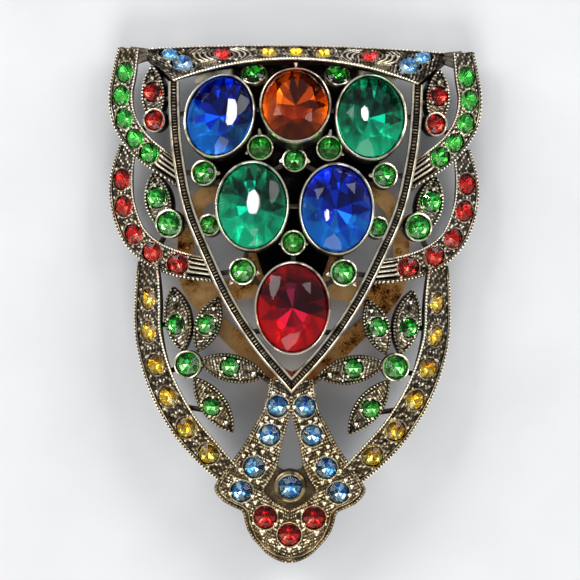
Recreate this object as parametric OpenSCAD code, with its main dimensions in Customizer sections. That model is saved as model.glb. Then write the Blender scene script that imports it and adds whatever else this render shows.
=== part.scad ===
// Dress clip: a pierced, domed shield casting set with glass stones, and a hinged lever behind it.
// The clip lies on its back: +Z comes out of the front, +Y runs towards the top rim, and the
// origin lies on the supporting surface, in the middle of the clip.

/* [Whole clip] */
// Height from the tip to the top rim
clip_h = 60; // [48:1:78]

/* [Cast frame] */
// Thickness of the cast bands and leaves
cast_t = 1.1; // [1.05:0.05:1.3]
// Height of the raised edges along bands and leaves
edge_h = 0.3; // [0.2:0.05:0.4]
// Width of those raised edges
edge_w = 0.5; // [0.4:0.05:0.6]
// Height of the middle of the shield above the supporting surface
dome_top = 7.6; // [7.5:0.05:7.8]
// Radius to which the two sides bend down
bend_r = 18.3; // [18:0.1:22]
// Half of the flat width between the two bends
flat_half = 9; // [8.5:0.1:9.5]
// Width of the grooved rail round the centre panel
rail_w = 1.3; // [1.1:0.05:1.5]
// How far the rail stands above the bands
rail_lift = 0.45; // [0.3:0.05:0.6]

/* [Settings] */
// Wall of the bezels
bezel_wall = 0.3; // [0.24:0.02:0.36]
// Clearance between a stone and its setting
seat_gap = 0.08; // [0.06:0.01:0.1]
// How far a bezel stands above the girdle of its stone
lip_h = 0.3; // [0.2:0.05:0.4]

/* [Stones] */
// Width of the large oval stones
oval_w = 8; // [7.8:0.05:8.1]
// Length of the large oval stones
oval_l = 10; // [9.8:0.05:10.1]
// Diameter of the stones set in the bands
band_stone_d = 2.3; // [2.1:0.05:2.35]
// Diameter of the stones set in the leaves
leaf_stone_d = 2.1; // [1.9:0.05:2.2]

/* [Clip back] */
// Thickness of the lever
lever_t = 0.8; // [0.7:0.05:0.9]
// Diameter of the hinge pin
pin_d = 1; // [0.9:0.05:1.1]
// Height of the hinge pin above the supporting surface
pin_z = 1.65; // [1.6:0.05:1.7]
// Thickness of the plate that carries the hinge
plate_t = 0.7; // [0.6:0.05:0.75]

/* [Hidden] */
base_h = 60;
size_factor = clip_h / base_h;

// Columns of the band tables: place in plan, outward tilt in degrees, half width along the slope
X = 0;
Y = 1;
TILT = 2;
HALF = 3;

// The right-hand bands run downwards. A stone sits at each row of the range beside the table.
upper_wing = [
    [19.15, 29.3, 40, 1.6],
    [19.75, 26.5, 40, 1.9],
    [20.2, 23.8, 40, 1.9],
    [19.8, 21.2, 38, 1.9],
    [18.5, 18.9, 34, 1.8],
    [16.8, 17.2, 26, 1.65],
    [14.0, 15.2, 10, 1.4]
];
upper_wing_stones = [1:5];

lower_wing = [
    [19.45, 17.45, 36, 1.4],
    [20.0, 14.1, 40, 1.85],
    [19.75, 11.0, 38, 1.9],
    [18.5, 7.8, 34, 1.85],
    [16.3, 5.7, 28, 1.75],
    [13.3, 4.4, 16, 1.6],
    [9.8, 3.8, 4, 1.4]
];
lower_wing_stones = [1:5];

side_band = [
    [16.75, 4.7, 44, 1.7],
    [16.7, 0.3, 50, 2.4],
    [16.6, -3.5, 48, 2.35],
    [15.75, -7.25, 41, 2.2],
    [14.25, -10.9, 33, 2.05],
    [12.05, -14.45, 25, 1.9],
    [9.45, -17.4, 18, 1.75],
    [7.2, -19.6, 14, 1.5]
];
side_band_stones = [1:6];

fan_arm = [
    [1.25, -8.6, 0, 1.35],
    [1.55, -11.85, 0, 1.65],
    [2.45, -15.15, 2, 1.95],
    [4.15, -18.9, 4, 2.35],
    [5.6, -21.7, 6, 2.35],
    [6.3, -23.0, 8, 1.9]
];
fan_arm_stones = [1:4];

rail = [
    [14.05, 25.4, 0, rail_w / 2],
    [13.9, 21.2, 0, rail_w / 2],
    [13.45, 16.9, 0, rail_w / 2],
    [12.25, 11.2, 0, rail_w / 2],
    [10.2, 6.1, 0, rail_w / 2],
    [7.3, 0.2, 0, rail_w / 2],
    [3.9, -4.9, 0, rail_w / 2],
    [-0.45, -9.9, 0, rail_w / 2]
];
rail_depth = 1.6;
rail_edge = 0.42;
rail_edge_h = 0.25;

// The top band is ruled between a front arch and a straight back rim.
top_front_half = 14;
top_back_half = 18.1;
top_front_y = 28.05;
top_arch = 0.0139;
top_back_y = 29.75;
top_back_arch = 0.0018;
top_drop = 3.8;
top_rings = 8;
top_t = 0.95;
// A strip inside the top band closes the view behind the upper stones.
apron_edge = [[7, 28.85], [11.6, 28.6], [11.6, 25.2], [7.2, 26.3], [5.5, 25.6]];
apron_z = 3.75;
apron_t = 0.55;
// Columns: name, share of the half length, share from front to back, size as a share of a leaf stone
top_stones = [
    ["blue", 0.835, 0.4, 1.12],
    ["blue", 0.85, 0.78, 0.97],
    ["red", 0.52, 0.6, 1.05],
    ["yellow", 0.2, 0.56, 1]
];

// Columns: name, tip, base, width, place of its stone, size as a share of a leaf stone
leaves = [
    ["upper_leaf_red", [16.6, 27.3], [16.2, 20.4], 3.1, [16.6, 24.2], 1.03],
    ["lower_leaf_green", [16.4, 14.9], [14.9, 8.2], 3.4, [15.9, 12.05], 1.14],
    ["sprig_green_outer", [13.9, 1.8], [12.5, -5.8], 3.3, [13.5, -2.6], 1],
    ["sprig_green_inner", [8.6, 0.7], [10.9, -5.8], 3.0, [9.9, -2.55], 1],
    ["sprig_green_across", [2.9, -8.4], [10.9, -6.7], 3.3, [7.1, -7.35], 1],
    ["sprig_green_lower", [6.6, -15.0], [11.3, -8.6], 3.1, [9.2, -12.0], 1]
];
leaf_steps = 5;
leaf_tip_edges = 3;

// Columns: name, place in plan, diameter of the stone
frame_cups = [
    ["upper_bezel_red", [16.15, 20.9], 2.1],
    ["lower_bezel_green", [14.3, 9.0], 2.6],
    ["sprig_bezel_green", [11.95, -7.15], 2.5]
];

// Columns: name, centre of the girdle, backward tilt, outward tilt, diameter of the stone
side_cups = [
    ["cluster_green_top", [4.8, 26.4, 5.6], 34, 8, 2.35],
    ["cluster_green_upper", [3.97, 17.9, 7.4], 12, 0, 2.35],
    ["cluster_green_side", [10.4, 14.9, 7.1], 6, 10, 2.3],
    ["cluster_green_rail", [9.7, 8.9, 7.5], 4, 8, 1.85],
    ["cluster_green_lower", [5.8, 3.65, 7.9], 0, 4, 2.4]
];
middle_cups = [
    ["cluster_green_middle", [0, 16.5, 7.5], 10, 0, 2.15],
    ["cluster_green_low", [0, 7.0, 8.0], 3, 0, 2.2]
];
cup_depth = 1.6;

// Columns: name, centre of the girdle, backward tilt, outward tilt, share of full size, turn, colour
ovals = [
    ["oval_blue_left", [-8.7, 21.5, 7.3], 12, -8, 0.93, -11, "royalblue"],
    ["oval_amber", [0, 22.9, 6.9], 29, 0, 0.94, 0, "darkorange"],
    ["oval_green_right", [8.7, 21.6, 7.3], 12, 8, 0.95, -5, "seagreen"],
    ["oval_green_left", [-4.8, 11.15, 8.3], 6, -4, 0.97, 0, "seagreen"],
    ["oval_blue_right", [4.9, 10.95, 8.3], 6, 4, 0.99, 0, "royalblue"],
    ["oval_ruby", [0, -0.5, 8.3], 0, 0, 1, 0, "crimson"]
];
oval_cup_depth = 1.8;
oval_sides = 16;
oval_table = 0.6;
oval_crown = 1.3;
oval_pavilion = 1.6;
cup_sides = 10;

// The lower end of the casting: a plate with two corners and a round lobe.
fan_edge = [[2.2, -19.4], [5.9, -17.7], [7.2, -19.2], [8.85, -21.1], [8.3, -22.2], [5.4, -23.9]];
fan_plate_y = -24.5;
lobe_r = 4.99;
lobe_y = -25.05;
lobe_sides = 20;
lobe_stones = [
    ["lobe_red_left", [-2.8, -24.7]],
    ["lobe_red_tip", [0, -26.7]],
    ["lobe_red_right", [2.8, -24.7]]
];
lobe_stone_d = 2.5;
fan_cup_d = 2.6;
fan_cup_y = -21.05;
fan_cup_r = 1.9;
fan_cup_rise = 0.5;
fan_cup_sides = 16;
lobe_top = 1.9;

// The fall of the lower end towards the tip
tip_start = 6;
tip_bend = 0.005;

// Proportions of the round stones, as shares of the radius
table_share = 0.58;
crown_share = 0.42;
pavilion_share = 0.56;
stone_sides = 8;
girdle_half = 0.05;
sink = 0.12;
pit_spare = 0.08;
above = 3;
bore_share = 0.72;
past = 0.04;

// Clip back
pin_y = 24.6;
pin_half = 5.35;
pin_head_r = 0.8;
pin_head_h = 0.35;
running_gap = 0.08;
ear_gap = 0.05;
ear_in = 4.5;
ear_out = 5.25;
ear_r = 1.05;
barrel_r = 0.95;
barrel_half = ear_in - 0.12;
plate_edge = [
    [3.2, 24.9], [3.6, 25.6], [9.3, 25.6], [9.8, 25.1],
    [9.8, 15.2], [5.4, 11.4], [5.4, 9], [3, 2]
];
plate_z = 2.75;
foot_gap = 0.07;
foot_r = 1;
foot_lap = 0.4;
lever_top_y = 25.5;
lever_rise = 3;
lever_tip_y = -10.2;
lever_bend_r = (lever_tip_y * lever_tip_y + lever_rise * lever_rise) / (2 * lever_rise);
lever_bend_angle = asin(-lever_tip_y / lever_bend_r);
lever_edge = [
    [4.3, 25.5], [4.3, 18.2], [6.4, 15.2], [10.9, 13.3], [13.1, 9.8], [13.5, 5.6],
    [12.9, 1.6], [10.3, -1.9], [6.4, -6.0], [2.6, -9.5]
];
side_window = [
    [6.2, 12.3], [9.6, 11.9], [11.3, 9.2], [11.6, 5.6],
    [10.9, 3.3], [8.0, 2.7], [5.6, 3.6], [5.2, 8.5]
];
low_window = [[0, 0.9], [4.6, 0.7], [8.6, -0.6], [6.2, -3.3], [3.1, -6.4], [0, -7.9]];
// Columns: place of a gripping tooth, its foot and its point
teeth = [[1.7, -8.7, 2.2, 5.95], [12.3, 6.3, 0.4, 3]];
tooth_r = 0.45;
tooth_point_r = 0.15;
tooth_sides = 24;
round_sides = 48;
web_half = 0.8;
lever_span = 30;
bend_steps = 8;

metal = "rosybrown";
brass = "peru";
black_metal = "dimgray";
leaf_green = "limegreen";

// Names of all the pieces
both_sides = ["left", "right"];

// Height and slopes of the domed front
function side_fall(x) =
    let (u = max(0, abs(x) - flat_half))
    bend_r - sqrt(bend_r * bend_r - u * u);
function tip_fall(y) =
    let (v = max(0, -y - tip_start))
    tip_bend * v * v;
function dome_z(x, y) = dome_top - side_fall(x) - tip_fall(y);
function side_angle(x) = sign(x) * asin(max(0, abs(x) - flat_half) / bend_r);
function tip_angle(y) = atan(2 * tip_bend * max(0, -y - tip_start));

// A smooth curve through the rows of a table, which may have any number of columns
function row_at(rows, i) =
    i < 0 ? 2 * rows[0] - rows[1]
    : i >= len(rows) ? 2 * rows[len(rows) - 1] - rows[len(rows) - 2]
    : rows[i];
function blend(a, b, c, d, t) =
    0.5 * (2 * b + (c - a) * t + (2 * a - 5 * b + 4 * c - d) * t * t + (3 * b - a - 3 * c + d) * t * t * t);
function curve_at(rows, s) =
    let (i = min(floor(s), len(rows) - 2), t = s - i)
    blend(row_at(rows, i - 1), rows[i], row_at(rows, i + 1), row_at(rows, i + 2), t);
function smooth(rows, steps) =
    [for (i = [0:steps * (len(rows) - 1)]) curve_at(rows, i / steps)];
function loop_at(rows, s) =
    let (n = len(rows), i = floor(s), t = s - i)
    blend(rows[(i + n - 1) % n], rows[i % n], rows[(i + 1) % n], rows[(i + 2) % n], t);
function smooth_loop(rows, steps) =
    [for (i = [0:steps * len(rows) - 1]) loop_at(rows, i / steps)];

// Direction of a path in plan, at a place counted in rows
function heading(rows, s) =
    let (h = 0.05, a = curve_at(rows, max(0, s - h)), b = curve_at(rows, min(len(rows) - 1, s + h)))
    let (d = [b[X] - a[X], b[Y] - a[Y]])
    d / norm(d);
// A band's own axes at a place: across it and outwards, along it backwards, and out of its face
function band_axes(rows, s) =
    let (d = heading(rows, s), tilt = curve_at(rows, s)[TILT])
    let (across = [-d[1] * cos(tilt), d[0] * cos(tilt), -sin(tilt)])
    let (out = [-d[1] * sin(tilt), d[0] * sin(tilt), cos(tilt)])
    [across, cross(out, across), out];
function band_centre(rows, s) =
    let (p = curve_at(rows, s))
    [p[X], p[Y], dome_z(p[X], p[Y])];
// The axes of a stone seat, which also follow the rise of the band along its path
function seat_axes(rows, s) =
    let (h = 0.05, a = band_centre(rows, max(0, s - h)), b = band_centre(rows, min(len(rows) - 1, s + h)))
    let (along = (a - b) / norm(a - b), out = cross(band_axes(rows, s)[0], along))
    let (w = out / norm(out))
    [cross(along, w), along, w];
function channel(half, edge, rise, depth, lift) = [
    [half, lift - depth], [half, lift + rise], [half - edge, lift + rise], [half - edge, lift],
    [edge - half, lift], [edge - half, lift + rise], [-half, lift + rise], [-half, lift - depth]
];
function placed_ring(centre, axes, outline) = [for (p = outline) centre + p[0] * axes[0] + p[1] * axes[2]];

// The top band at a share s of its half length
function top_front(s) =
    let (x = top_front_half * s)
    [x, top_front_y - top_arch * x * x, dome_top];
function top_back(s) =
    let (x = top_back_half * s)
    [x, top_back_y - top_back_arch * x * x, dome_top - top_drop];
function top_place(s, f) = top_front(s) + f * (top_back(s) - top_front(s));
function top_axes(s, f = 0.5) =
    let (h = 0.05, across = top_back(s) - top_front(s), along = top_place(s + h, f) - top_place(s - h, f))
    let (out = cross(along, across))
    let (u = across / norm(across), w = out / norm(out))
    [u, cross(w, u), w];

// A half outline with its mirror image, as one closed outline
function mirrored(half) = concat(half, [for (i = [len(half) - 1:-1:0]) [-half[i][0], half[i][1]]]);

function matrix(centre, axes) = [
    [axes[0][0], axes[1][0], axes[2][0], centre[0]],
    [axes[0][1], axes[1][1], axes[2][1], centre[1]],
    [axes[0][2], axes[1][2], axes[2][2], centre[2]],
    [0, 0, 0, 1]
];

// Closed skin through rings of equal length, each end closed by one flat face
module skin(rings) {
    m = len(rings[0]);
    n = len(rings);
    points = [for (r = rings) each r];
    sides = [
        for (i = [0:n - 2]) for (j = [0:m - 1])
        for (f = [
            [i * m + j, (i + 1) * m + (j + 1) % m, i * m + (j + 1) % m],
            [i * m + j, (i + 1) * m + j, (i + 1) * m + (j + 1) % m]
        ]) f
    ];
    first = [for (j = [0:m - 1]) j];
    last = [for (j = [m - 1:-1:0]) (n - 1) * m + j];
    polyhedron(points, concat([first], sides, [last]), convexity = 6);
}

// A cut stone with a table, a crown, a thin girdle at height zero and a pointed pavilion
module cut_stone(rx, ry, sides, table, crown, pavilion) {
    n = sides;
    function ring(share, z, phase) =
        [for (i = [0:n - 1]) let (a = (i + phase) * 360 / n) [rx * share * cos(a), ry * share * sin(a), z]];
    points = concat(
        ring(table, crown, 0.5),
        ring(1, girdle_half, 0),
        ring(1, -girdle_half, 0),
        [[0, 0, -pavilion]]
    );
    faces = concat(
        [[for (i = [n - 1:-1:0]) i]],
        [for (i = [0:n - 1]) [i, n + (i + 1) % n, n + i]],
        [for (i = [0:n - 1]) [i, (i + 1) % n, n + (i + 1) % n]],
        [for (i = [0:n - 1]) [n + i, n + (i + 1) % n, 2 * n + i]],
        [for (i = [0:n - 1]) [n + (i + 1) % n, 2 * n + (i + 1) % n, 2 * n + i]],
        [for (i = [0:n - 1]) [2 * n + i, 2 * n + (i + 1) % n, 3 * n]]
    );
    polyhedron(points, faces, convexity = 2);
}
module round_stone(d) {
    r = d / 2;
    cut_stone(r, r, stone_sides, table_share, r * crown_share, r * pavilion_share);
}
module oval_stone(share) {
    cut_stone(share * oval_w / 2, share * oval_l / 2, oval_sides, oval_table, oval_crown, oval_pavilion);
}

// Places on the metal
module on_dome(p) {
    translate([p[0], p[1], dome_z(p[0], p[1])])
        rotate([tip_angle(p[1]), side_angle(p[0]), 0])
            children();
}
module on_band(rows, s, lift = 0) {
    multmatrix(matrix(band_centre(rows, s), seat_axes(rows, s)))
        translate([0, 0, lift])
            children();
}
module on_top(s, f) {
    multmatrix(matrix(top_place(s, f), top_axes(s, f)))
        children();
}
module tilted(p, back, out, turn = 0) {
    translate(p)
        rotate([-back, out, 0])
            rotate([0, 0, turn])
                children();
}
module side_of(s) {
    mirror([s == "left" ? 1 : 0, 0, 0])
        children();
}
module both() {
    for (s = both_sides)
        side_of(s)
            children();
}

// Hollows for the stones
module pit(d) {
    r = d / 2;
    depth = r * pavilion_share + pit_spare;
    translate([0, 0, -depth])
        cylinder(r = r + seat_gap, h = depth + above, $fn = stone_sides);
}
module cup_bore(rx, ry, sides, depth) {
    r = max(rx, ry);
    seat_r = r + seat_gap;
    low_r = r * bore_share;
    slope = (seat_r - low_r) / depth;
    scale([(rx + seat_gap) / seat_r, (ry + seat_gap) / seat_r, 1])
        translate([0, 0, -depth - past])
            cylinder(
                r1 = low_r - slope * past,
                r2 = seat_r + slope * (lip_h + past),
                h = depth + lip_h + 2 * past,
                $fn = sides
            );
}
module cup_wall(rx, ry, sides, depth) {
    grow = seat_gap + bezel_wall;
    r = max(rx, ry);
    scale([(rx + grow) / (r + grow), (ry + grow) / (r + grow), 1])
        translate([0, 0, -depth])
            cylinder(r = r + grow, h = depth + lip_h, $fn = sides);
}
module round_cup_wall(d, depth = cup_depth) {
    cup_wall(d / 2, d / 2, cup_sides, depth);
}

// One swept band with two raised edges
module band(rows, steps = 1, edge = edge_w, rise = edge_h, depth = cast_t, lift = 0) {
    skin([
        for (i = [0:steps * (len(rows) - 1)])
        let (s = i / steps)
        placed_ring(band_centre(rows, s), band_axes(rows, s),
            channel(curve_at(rows, s)[HALF], edge, rise, depth, lift))
    ]);
}
module top_band() {
    skin([
        for (i = [-top_rings:top_rings])
        let (s = i / top_rings)
        placed_ring((top_front(s) + top_back(s)) / 2, top_axes(s),
            channel(norm(top_back(s) - top_front(s)) / 2, edge_w, edge_h, top_t, 0))
    ]);
}

// A straight link between two points
module bar(a, b, w, h) {
    d = b - a;
    translate(a)
        rotate([0, 0, atan2(d[1], d[0])])
            rotate([0, -atan2(d[2], norm([d[0], d[1]])), 0])
                translate([0, -w / 2, -h / 2])
                    cube([norm(d), w, h]);
}
// Ribs where a wing runs into the rail
module ribs(rows) {
    last = len(rows) - 1;
    for (a = rib_shares)
        hull()
            for (p = [rib_end(rows, last - rib_rows, a), rib_end(rows, last, a)])
                translate(p)
                    cube([rib_w, rib_w, rib_h], center = true);
}
function rib_end(rows, s, share) =
    let (axes = band_axes(rows, s), half = curve_at(rows, s)[HALF])
    band_centre(rows, s) + share * half * axes[0] + rib_rise * axes[2];

// A leaf between two pointed ends, with a raised edge round a sunk face
function leaf_outline(length, width) =
    let (r = (length * length + width * width) / (4 * width))
    let (along = [for (i = [0:leaf_steps]) length * (i / leaf_steps - 0.5)])
    let (half = [for (v = along) [sqrt(r * r - v * v) - r + width / 2, v]])
    concat(half, [for (i = [leaf_steps - 1:-1:1]) [-half[i][0], half[i][1]]]);
module leaf(row) {
    tip = row[1];
    base = row[2];
    middle = (tip + base) / 2;
    length = norm(tip - base);
    turn = atan2(tip[1] - base[1], tip[0] - base[0]) - 90;
    on_dome(middle)
        rotate([0, 0, turn])
            difference() {
                translate([0, 0, -cast_t])
                    linear_extrude(cast_t + edge_h)
                        polygon(leaf_outline(length, row[3]));
                linear_extrude(above)
                    polygon(leaf_outline(length - leaf_tip_edges * edge_w, row[3] - 2 * edge_w));
            }
}

// Lower end of the casting
module fan_plate() {
    on_dome([0, fan_plate_y])
        difference() {
            translate([0, -fan_plate_y, -cast_t])
                linear_extrude(cast_t + edge_h) {
                    polygon(mirrored(fan_edge));
                    translate([0, lobe_y])
                        circle(lobe_r, $fn = lobe_sides);
                }
            translate([0, lobe_y - fan_plate_y, 0])
                intersection() {
                    cylinder(r = lobe_r - edge_w, h = above, $fn = lobe_sides);
                    translate([-lobe_r, -2 * lobe_r, 0])
                        cube([2 * lobe_r, 2 * lobe_r + lobe_top, above]);
                }
        }
}

// The links that join the settings of the centre panel to each other and to the rail
side_links = [
    [[12.9, 14.9, 6.7], [11.4, 14.9, 6.7]],
    [[9.5, 14.2, 6.6], [8.2, 13.4, 6.9]],
    [[8.8, 3.3, 6.9], [6.9, 3.6, 7.1]],
    [[4.8, 2.9, 7.2], [3.8, 2.2, 7.2]],
    [[5.6, 4.8, 7.2], [5.3, 6.3, 7.2]],
    [[13.7, 21.7, 6.3], [12.4, 21.7, 6.3]],
    [[3.9, 22.3, 6.4], [4.9, 22.3, 6.4]],
    [[4.95, 27.2, 4.5], [4.95, 28.6, 4.9]],
    [[3.8, 25.9, 4.9], [3.2, 25.5, 4.9]],
    [[1.2, 16.0, 6.9], [2.6, 15.2, 7.1]],
    [[1.2, 7.6, 7.1], [2.5, 8.4, 7.1]],
    [[3.9, 16.8, 6.9], [4.1, 15.9, 7.1]],
    [[14.2, 23.4, 6.5], [15.4, 23.4, 6.0]],
    [[17.0, 20.2, 5.0], [18.6, 19.6, 4.4]],
    [[11.9, 9.0, 6.6], [13.2, 9.0, 6.5]],
    [[14.6, 8.0, 6.2], [15.4, 6.6, 5.9]],
    [[14.6, -2.6, 5.9], [15.6, -2.7, 5.6]],
    [[8.9, 0.1, 6.9], [7.8, 0.5, 6.9]],
    [[9.9, -12.4, 6.8], [12.6, -12.0, 6.2]],
    [[12.9, -7.6, 6.8], [14.4, -8.0, 6.0]],
    [[2.0, -9.3, 6.9], [3.8, -8.2, 6.9]],
    [[5.2, -3.3, 6.9], [3.4, -3.2, 7.1]]
];
middle_links = [
    [[0, 17.4, 7.2], [0, 18.6, 8.2]],
    [[0, 5.9, 7.2], [0, 4.6, 7.2]],
    [[-1.1, 11.2, 7.1], [1.1, 11.2, 7.1]]
];
link_w = 0.8;
link_h = 0.7;
rib_w = 0.3;
rib_h = 0.5;
rib_shares = [-0.45, 0, 0.45];
rib_rows = 0.72;
rib_rise = 0.1;

module shield_casting() {
    color(metal)
        difference() {
            union() {
                both() {
                    band(upper_wing, 2);
                    band(lower_wing, 2);
                    band(side_band);
                    band(fan_arm);
                    band(rail, 1, rail_edge, rail_edge_h, rail_depth, rail_lift);
                    ribs(upper_wing);
                    ribs(lower_wing);
                    for (l = leaves)
                        leaf(l);
                    for (c = frame_cups)
                        on_dome(c[1])
                            translate([0, 0, sink])
                                round_cup_wall(c[2], cast_t);
                    for (c = side_cups)
                        tilted(c[1], c[2], c[3])
                            round_cup_wall(c[4]);
                    for (k = side_links)
                        bar(k[0], k[1], link_w, link_h);
                }
                top_band();
                translate([0, 0, apron_z])
                    linear_extrude(apron_t)
                        polygon(mirrored(apron_edge));
                fan_plate();
                on_dome([0, fan_cup_y])
                    translate([0, 0, -cast_t])
                        cylinder(r = fan_cup_r, h = cast_t + fan_cup_rise, $fn = fan_cup_sides);
                for (c = middle_cups) {
                    tilted(c[1], c[2], c[3])
                        round_cup_wall(c[4]);
                    foot(c[1]);
                }
                for (o = ovals)
                    tilted(o[1], o[2], o[3], o[5])
                        cup_wall(o[4] * oval_w / 2, o[4] * oval_l / 2, oval_sides, oval_cup_depth);
                for (k = middle_links)
                    bar(k[0], k[1], link_w, link_h);
            }
            both() {
                for (i = upper_wing_stones)
                    on_band(upper_wing, i, -sink)
                        pit(band_stone_d);
                for (i = lower_wing_stones)
                    on_band(lower_wing, i, -sink)
                        pit(band_stone_d);
                for (i = side_band_stones)
                    on_band(side_band, i, -sink)
                        pit(band_stone_d);
                for (i = fan_arm_stones)
                    on_band(fan_arm, i, -sink)
                        pit(band_stone_d);
                for (t = top_stones)
                    on_top(t[1], t[2])
                        translate([0, 0, -sink])
                            pit(t[3] * leaf_stone_d);
                for (l = leaves)
                    on_dome(l[4])
                        translate([0, 0, -sink])
                            pit(l[5] * leaf_stone_d);
                for (c = frame_cups)
                    on_dome(c[1])
                        translate([0, 0, sink])
                            pit(c[2]);
                for (c = side_cups)
                    tilted(c[1], c[2], c[3])
                        cup_bore(c[4] / 2, c[4] / 2, stone_sides, cup_depth);
            }
            on_top(0, top_stones[3][2])
                translate([0, 0, -sink])
                    pit(leaf_stone_d);
            for (r = lobe_stones)
                on_dome(r[1])
                    translate([0, 0, -sink])
                        pit(lobe_stone_d);
            on_dome([0, fan_cup_y])
                translate([0, 0, sink])
                    pit(fan_cup_d);
            for (c = middle_cups)
                tilted(c[1], c[2], c[3])
                    pit(c[4]);
            for (o = ovals)
                tilted(o[1], o[2], o[3], o[5])
                    cup_bore(o[4] * oval_w / 2, o[4] * oval_l / 2, oval_sides, oval_cup_depth);
        }
}
// A foot under a middle setting, down to the hinge plate
module foot(p) {
    low = plate_z + plate_t + foot_gap;
    translate([0, p[1], low])
        cylinder(r = foot_r, h = p[2] - cup_depth + foot_lap - low, $fn = stone_sides);
}

// The plate on the back that carries the hinge
module clip_plate() {
    color(black_metal) {
        translate([0, 0, plate_z])
            linear_extrude(plate_t)
                polygon(mirrored(plate_edge));
        both()
            translate([ear_in, 0, 0])
                rotate([90, 0, 90])
                    linear_extrude(ear_out - ear_in)
                        difference() {
                            union() {
                                translate([pin_y, pin_z])
                                    circle(ear_r, $fn = round_sides);
                                translate([pin_y - ear_r, pin_z])
                                    square([2 * ear_r, plate_z + plate_t - pin_z]);
                            }
                            translate([pin_y, pin_z])
                                circle(pin_d / 2 + ear_gap, $fn = round_sides);
                        }
    }
}

module hinge_pin() {
    color(brass)
        translate([0, pin_y, pin_z])
            rotate([0, 90, 0]) {
                cylinder(d = pin_d, h = 2 * pin_half, center = true, $fn = round_sides);
                both_ends()
                    translate([0, 0, pin_half])
                        cylinder(r = pin_head_r, h = pin_head_h, $fn = round_sides);
            }
}
module both_ends() {
    children();
    mirror([0, 0, 1])
        children();
}

// The pierced lever: its outline from the front, cut to its side view
module lever() {
    low_half = smooth(low_window, 3);
    low_inner = [for (i = [len(low_half) - 2:-1:1]) [-low_half[i][0], low_half[i][1]]];
    under = [for (i = [0:bend_steps]) lever_bend_point(i, 0)];
    over = [for (i = [bend_steps:-1:0]) lever_bend_point(i, lever_t)];
    color(brass) {
        difference() {
            union() {
                intersection() {
                    linear_extrude(lever_rise + lever_t)
                        difference() {
                            polygon(mirrored(smooth(lever_edge, 3)));
                            polygon(concat(low_half, low_inner));
                            both()
                                polygon(smooth_loop(side_window, 2));
                        }
                    rotate([90, 0, 90])
                        linear_extrude(lever_span, center = true)
                            polygon(concat([[lever_top_y, 0]], under, over, [[lever_top_y, lever_t]]));
                }
                translate([-barrel_half, 0, 0])
                    rotate([90, 0, 90])
                        linear_extrude(2 * barrel_half) {
                            translate([pin_y, pin_z])
                                circle(barrel_r, $fn = round_sides);
                            translate([pin_y - web_half, 0])
                                square([2 * web_half, pin_z]);
                        }
            }
            translate([0, pin_y, pin_z])
                rotate([0, 90, 0])
                    cylinder(r = pin_d / 2 + running_gap, h = lever_span, center = true, $fn = round_sides);
        }
        both()
            for (t = teeth)
                translate([t[0], t[1], t[2]])
                    cylinder(r1 = tooth_r, r2 = tooth_point_r, h = t[3] - t[2], $fn = tooth_sides);
    }
}
function lever_bend_point(i, up) =
    let (a = lever_bend_angle * i / bend_steps, r = lever_bend_r - up)
    [-r * sin(a), lever_bend_r - r * cos(a)];

// Stones
module band_stones(rows, at, d) {
    for (i = at)
        on_band(rows, i, -sink)
            round_stone(d);
}
module top_stone_group(name) {
    both()
        for (t = top_stones)
            if (t[0] == name)
                on_top(t[1], t[2])
                    translate([0, 0, -sink])
                        round_stone(t[3] * leaf_stone_d);
}

scale(size_factor) {
    shield_casting();
    clip_plate();
    hinge_pin();
    lever();
    for (o = ovals)
        color(o[6])
                tilted(o[1], o[2], o[3], o[5])
                    oval_stone(o[4]);
    for (c = side_cups)
        for (s = both_sides)
            color(leaf_green) side_of(s) tilted(c[1], c[2], c[3]) round_stone(c[4]);
    for (c = middle_cups)
        color(leaf_green) tilted(c[1], c[2], c[3]) round_stone(c[4]);
    for (c = frame_cups)
        for (s = both_sides)
            color(c[0] == "upper_bezel_red" ? "red" : leaf_green)
                    side_of(s) on_dome(c[1]) translate([0, 0, sink]) round_stone(c[2]);
    for (l = leaves)
        for (s = both_sides)
            color(l[0] == "upper_leaf_red" ? "red" : leaf_green)
                    side_of(s) on_dome(l[4]) translate([0, 0, -sink]) round_stone(l[5] * leaf_stone_d);
    for (r = lobe_stones)
        color("red") on_dome(r[1]) translate([0, 0, -sink]) round_stone(lobe_stone_d);
    color("cornflowerblue") on_dome([0, fan_cup_y]) translate([0, 0, sink]) round_stone(fan_cup_d);  // fan_bezel_blue
    color("skyblue") top_stone_group("blue");  // top_blues
    color("red") top_stone_group("red");  // top_reds
    color("gold") {  // top_yellows
            top_stone_group("yellow");
            on_top(0, top_stones[3][2]) translate([0, 0, -sink]) round_stone(leaf_stone_d);
        }
    color("cornflowerblue") both() band_stones(fan_arm, fan_arm_stones, band_stone_d);  // fan_blues
    for (s = both_sides) {
        color(leaf_green) side_of(s) band_stones(upper_wing, upper_wing_stones, band_stone_d);
        color("red") side_of(s) band_stones(lower_wing, lower_wing_stones, band_stone_d);
        color("gold") side_of(s) band_stones(side_band, side_band_stones, band_stone_d);
    }
}
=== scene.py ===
# %% [markdown]
# # A dress clip with coloured glass stones
#
# This lesson dresses the fixed frame of a shield-shaped clip. The frame gives the sizes. Here the
# plain casting gets its milled edges, beads, flutes and bezels, and the stones get real facets and
# a foiled back. All lengths below are in millimetres until a mesh is made.

# %% Load the frame
import math
import bpy
import numpy as np
from mathutils import Matrix


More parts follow.
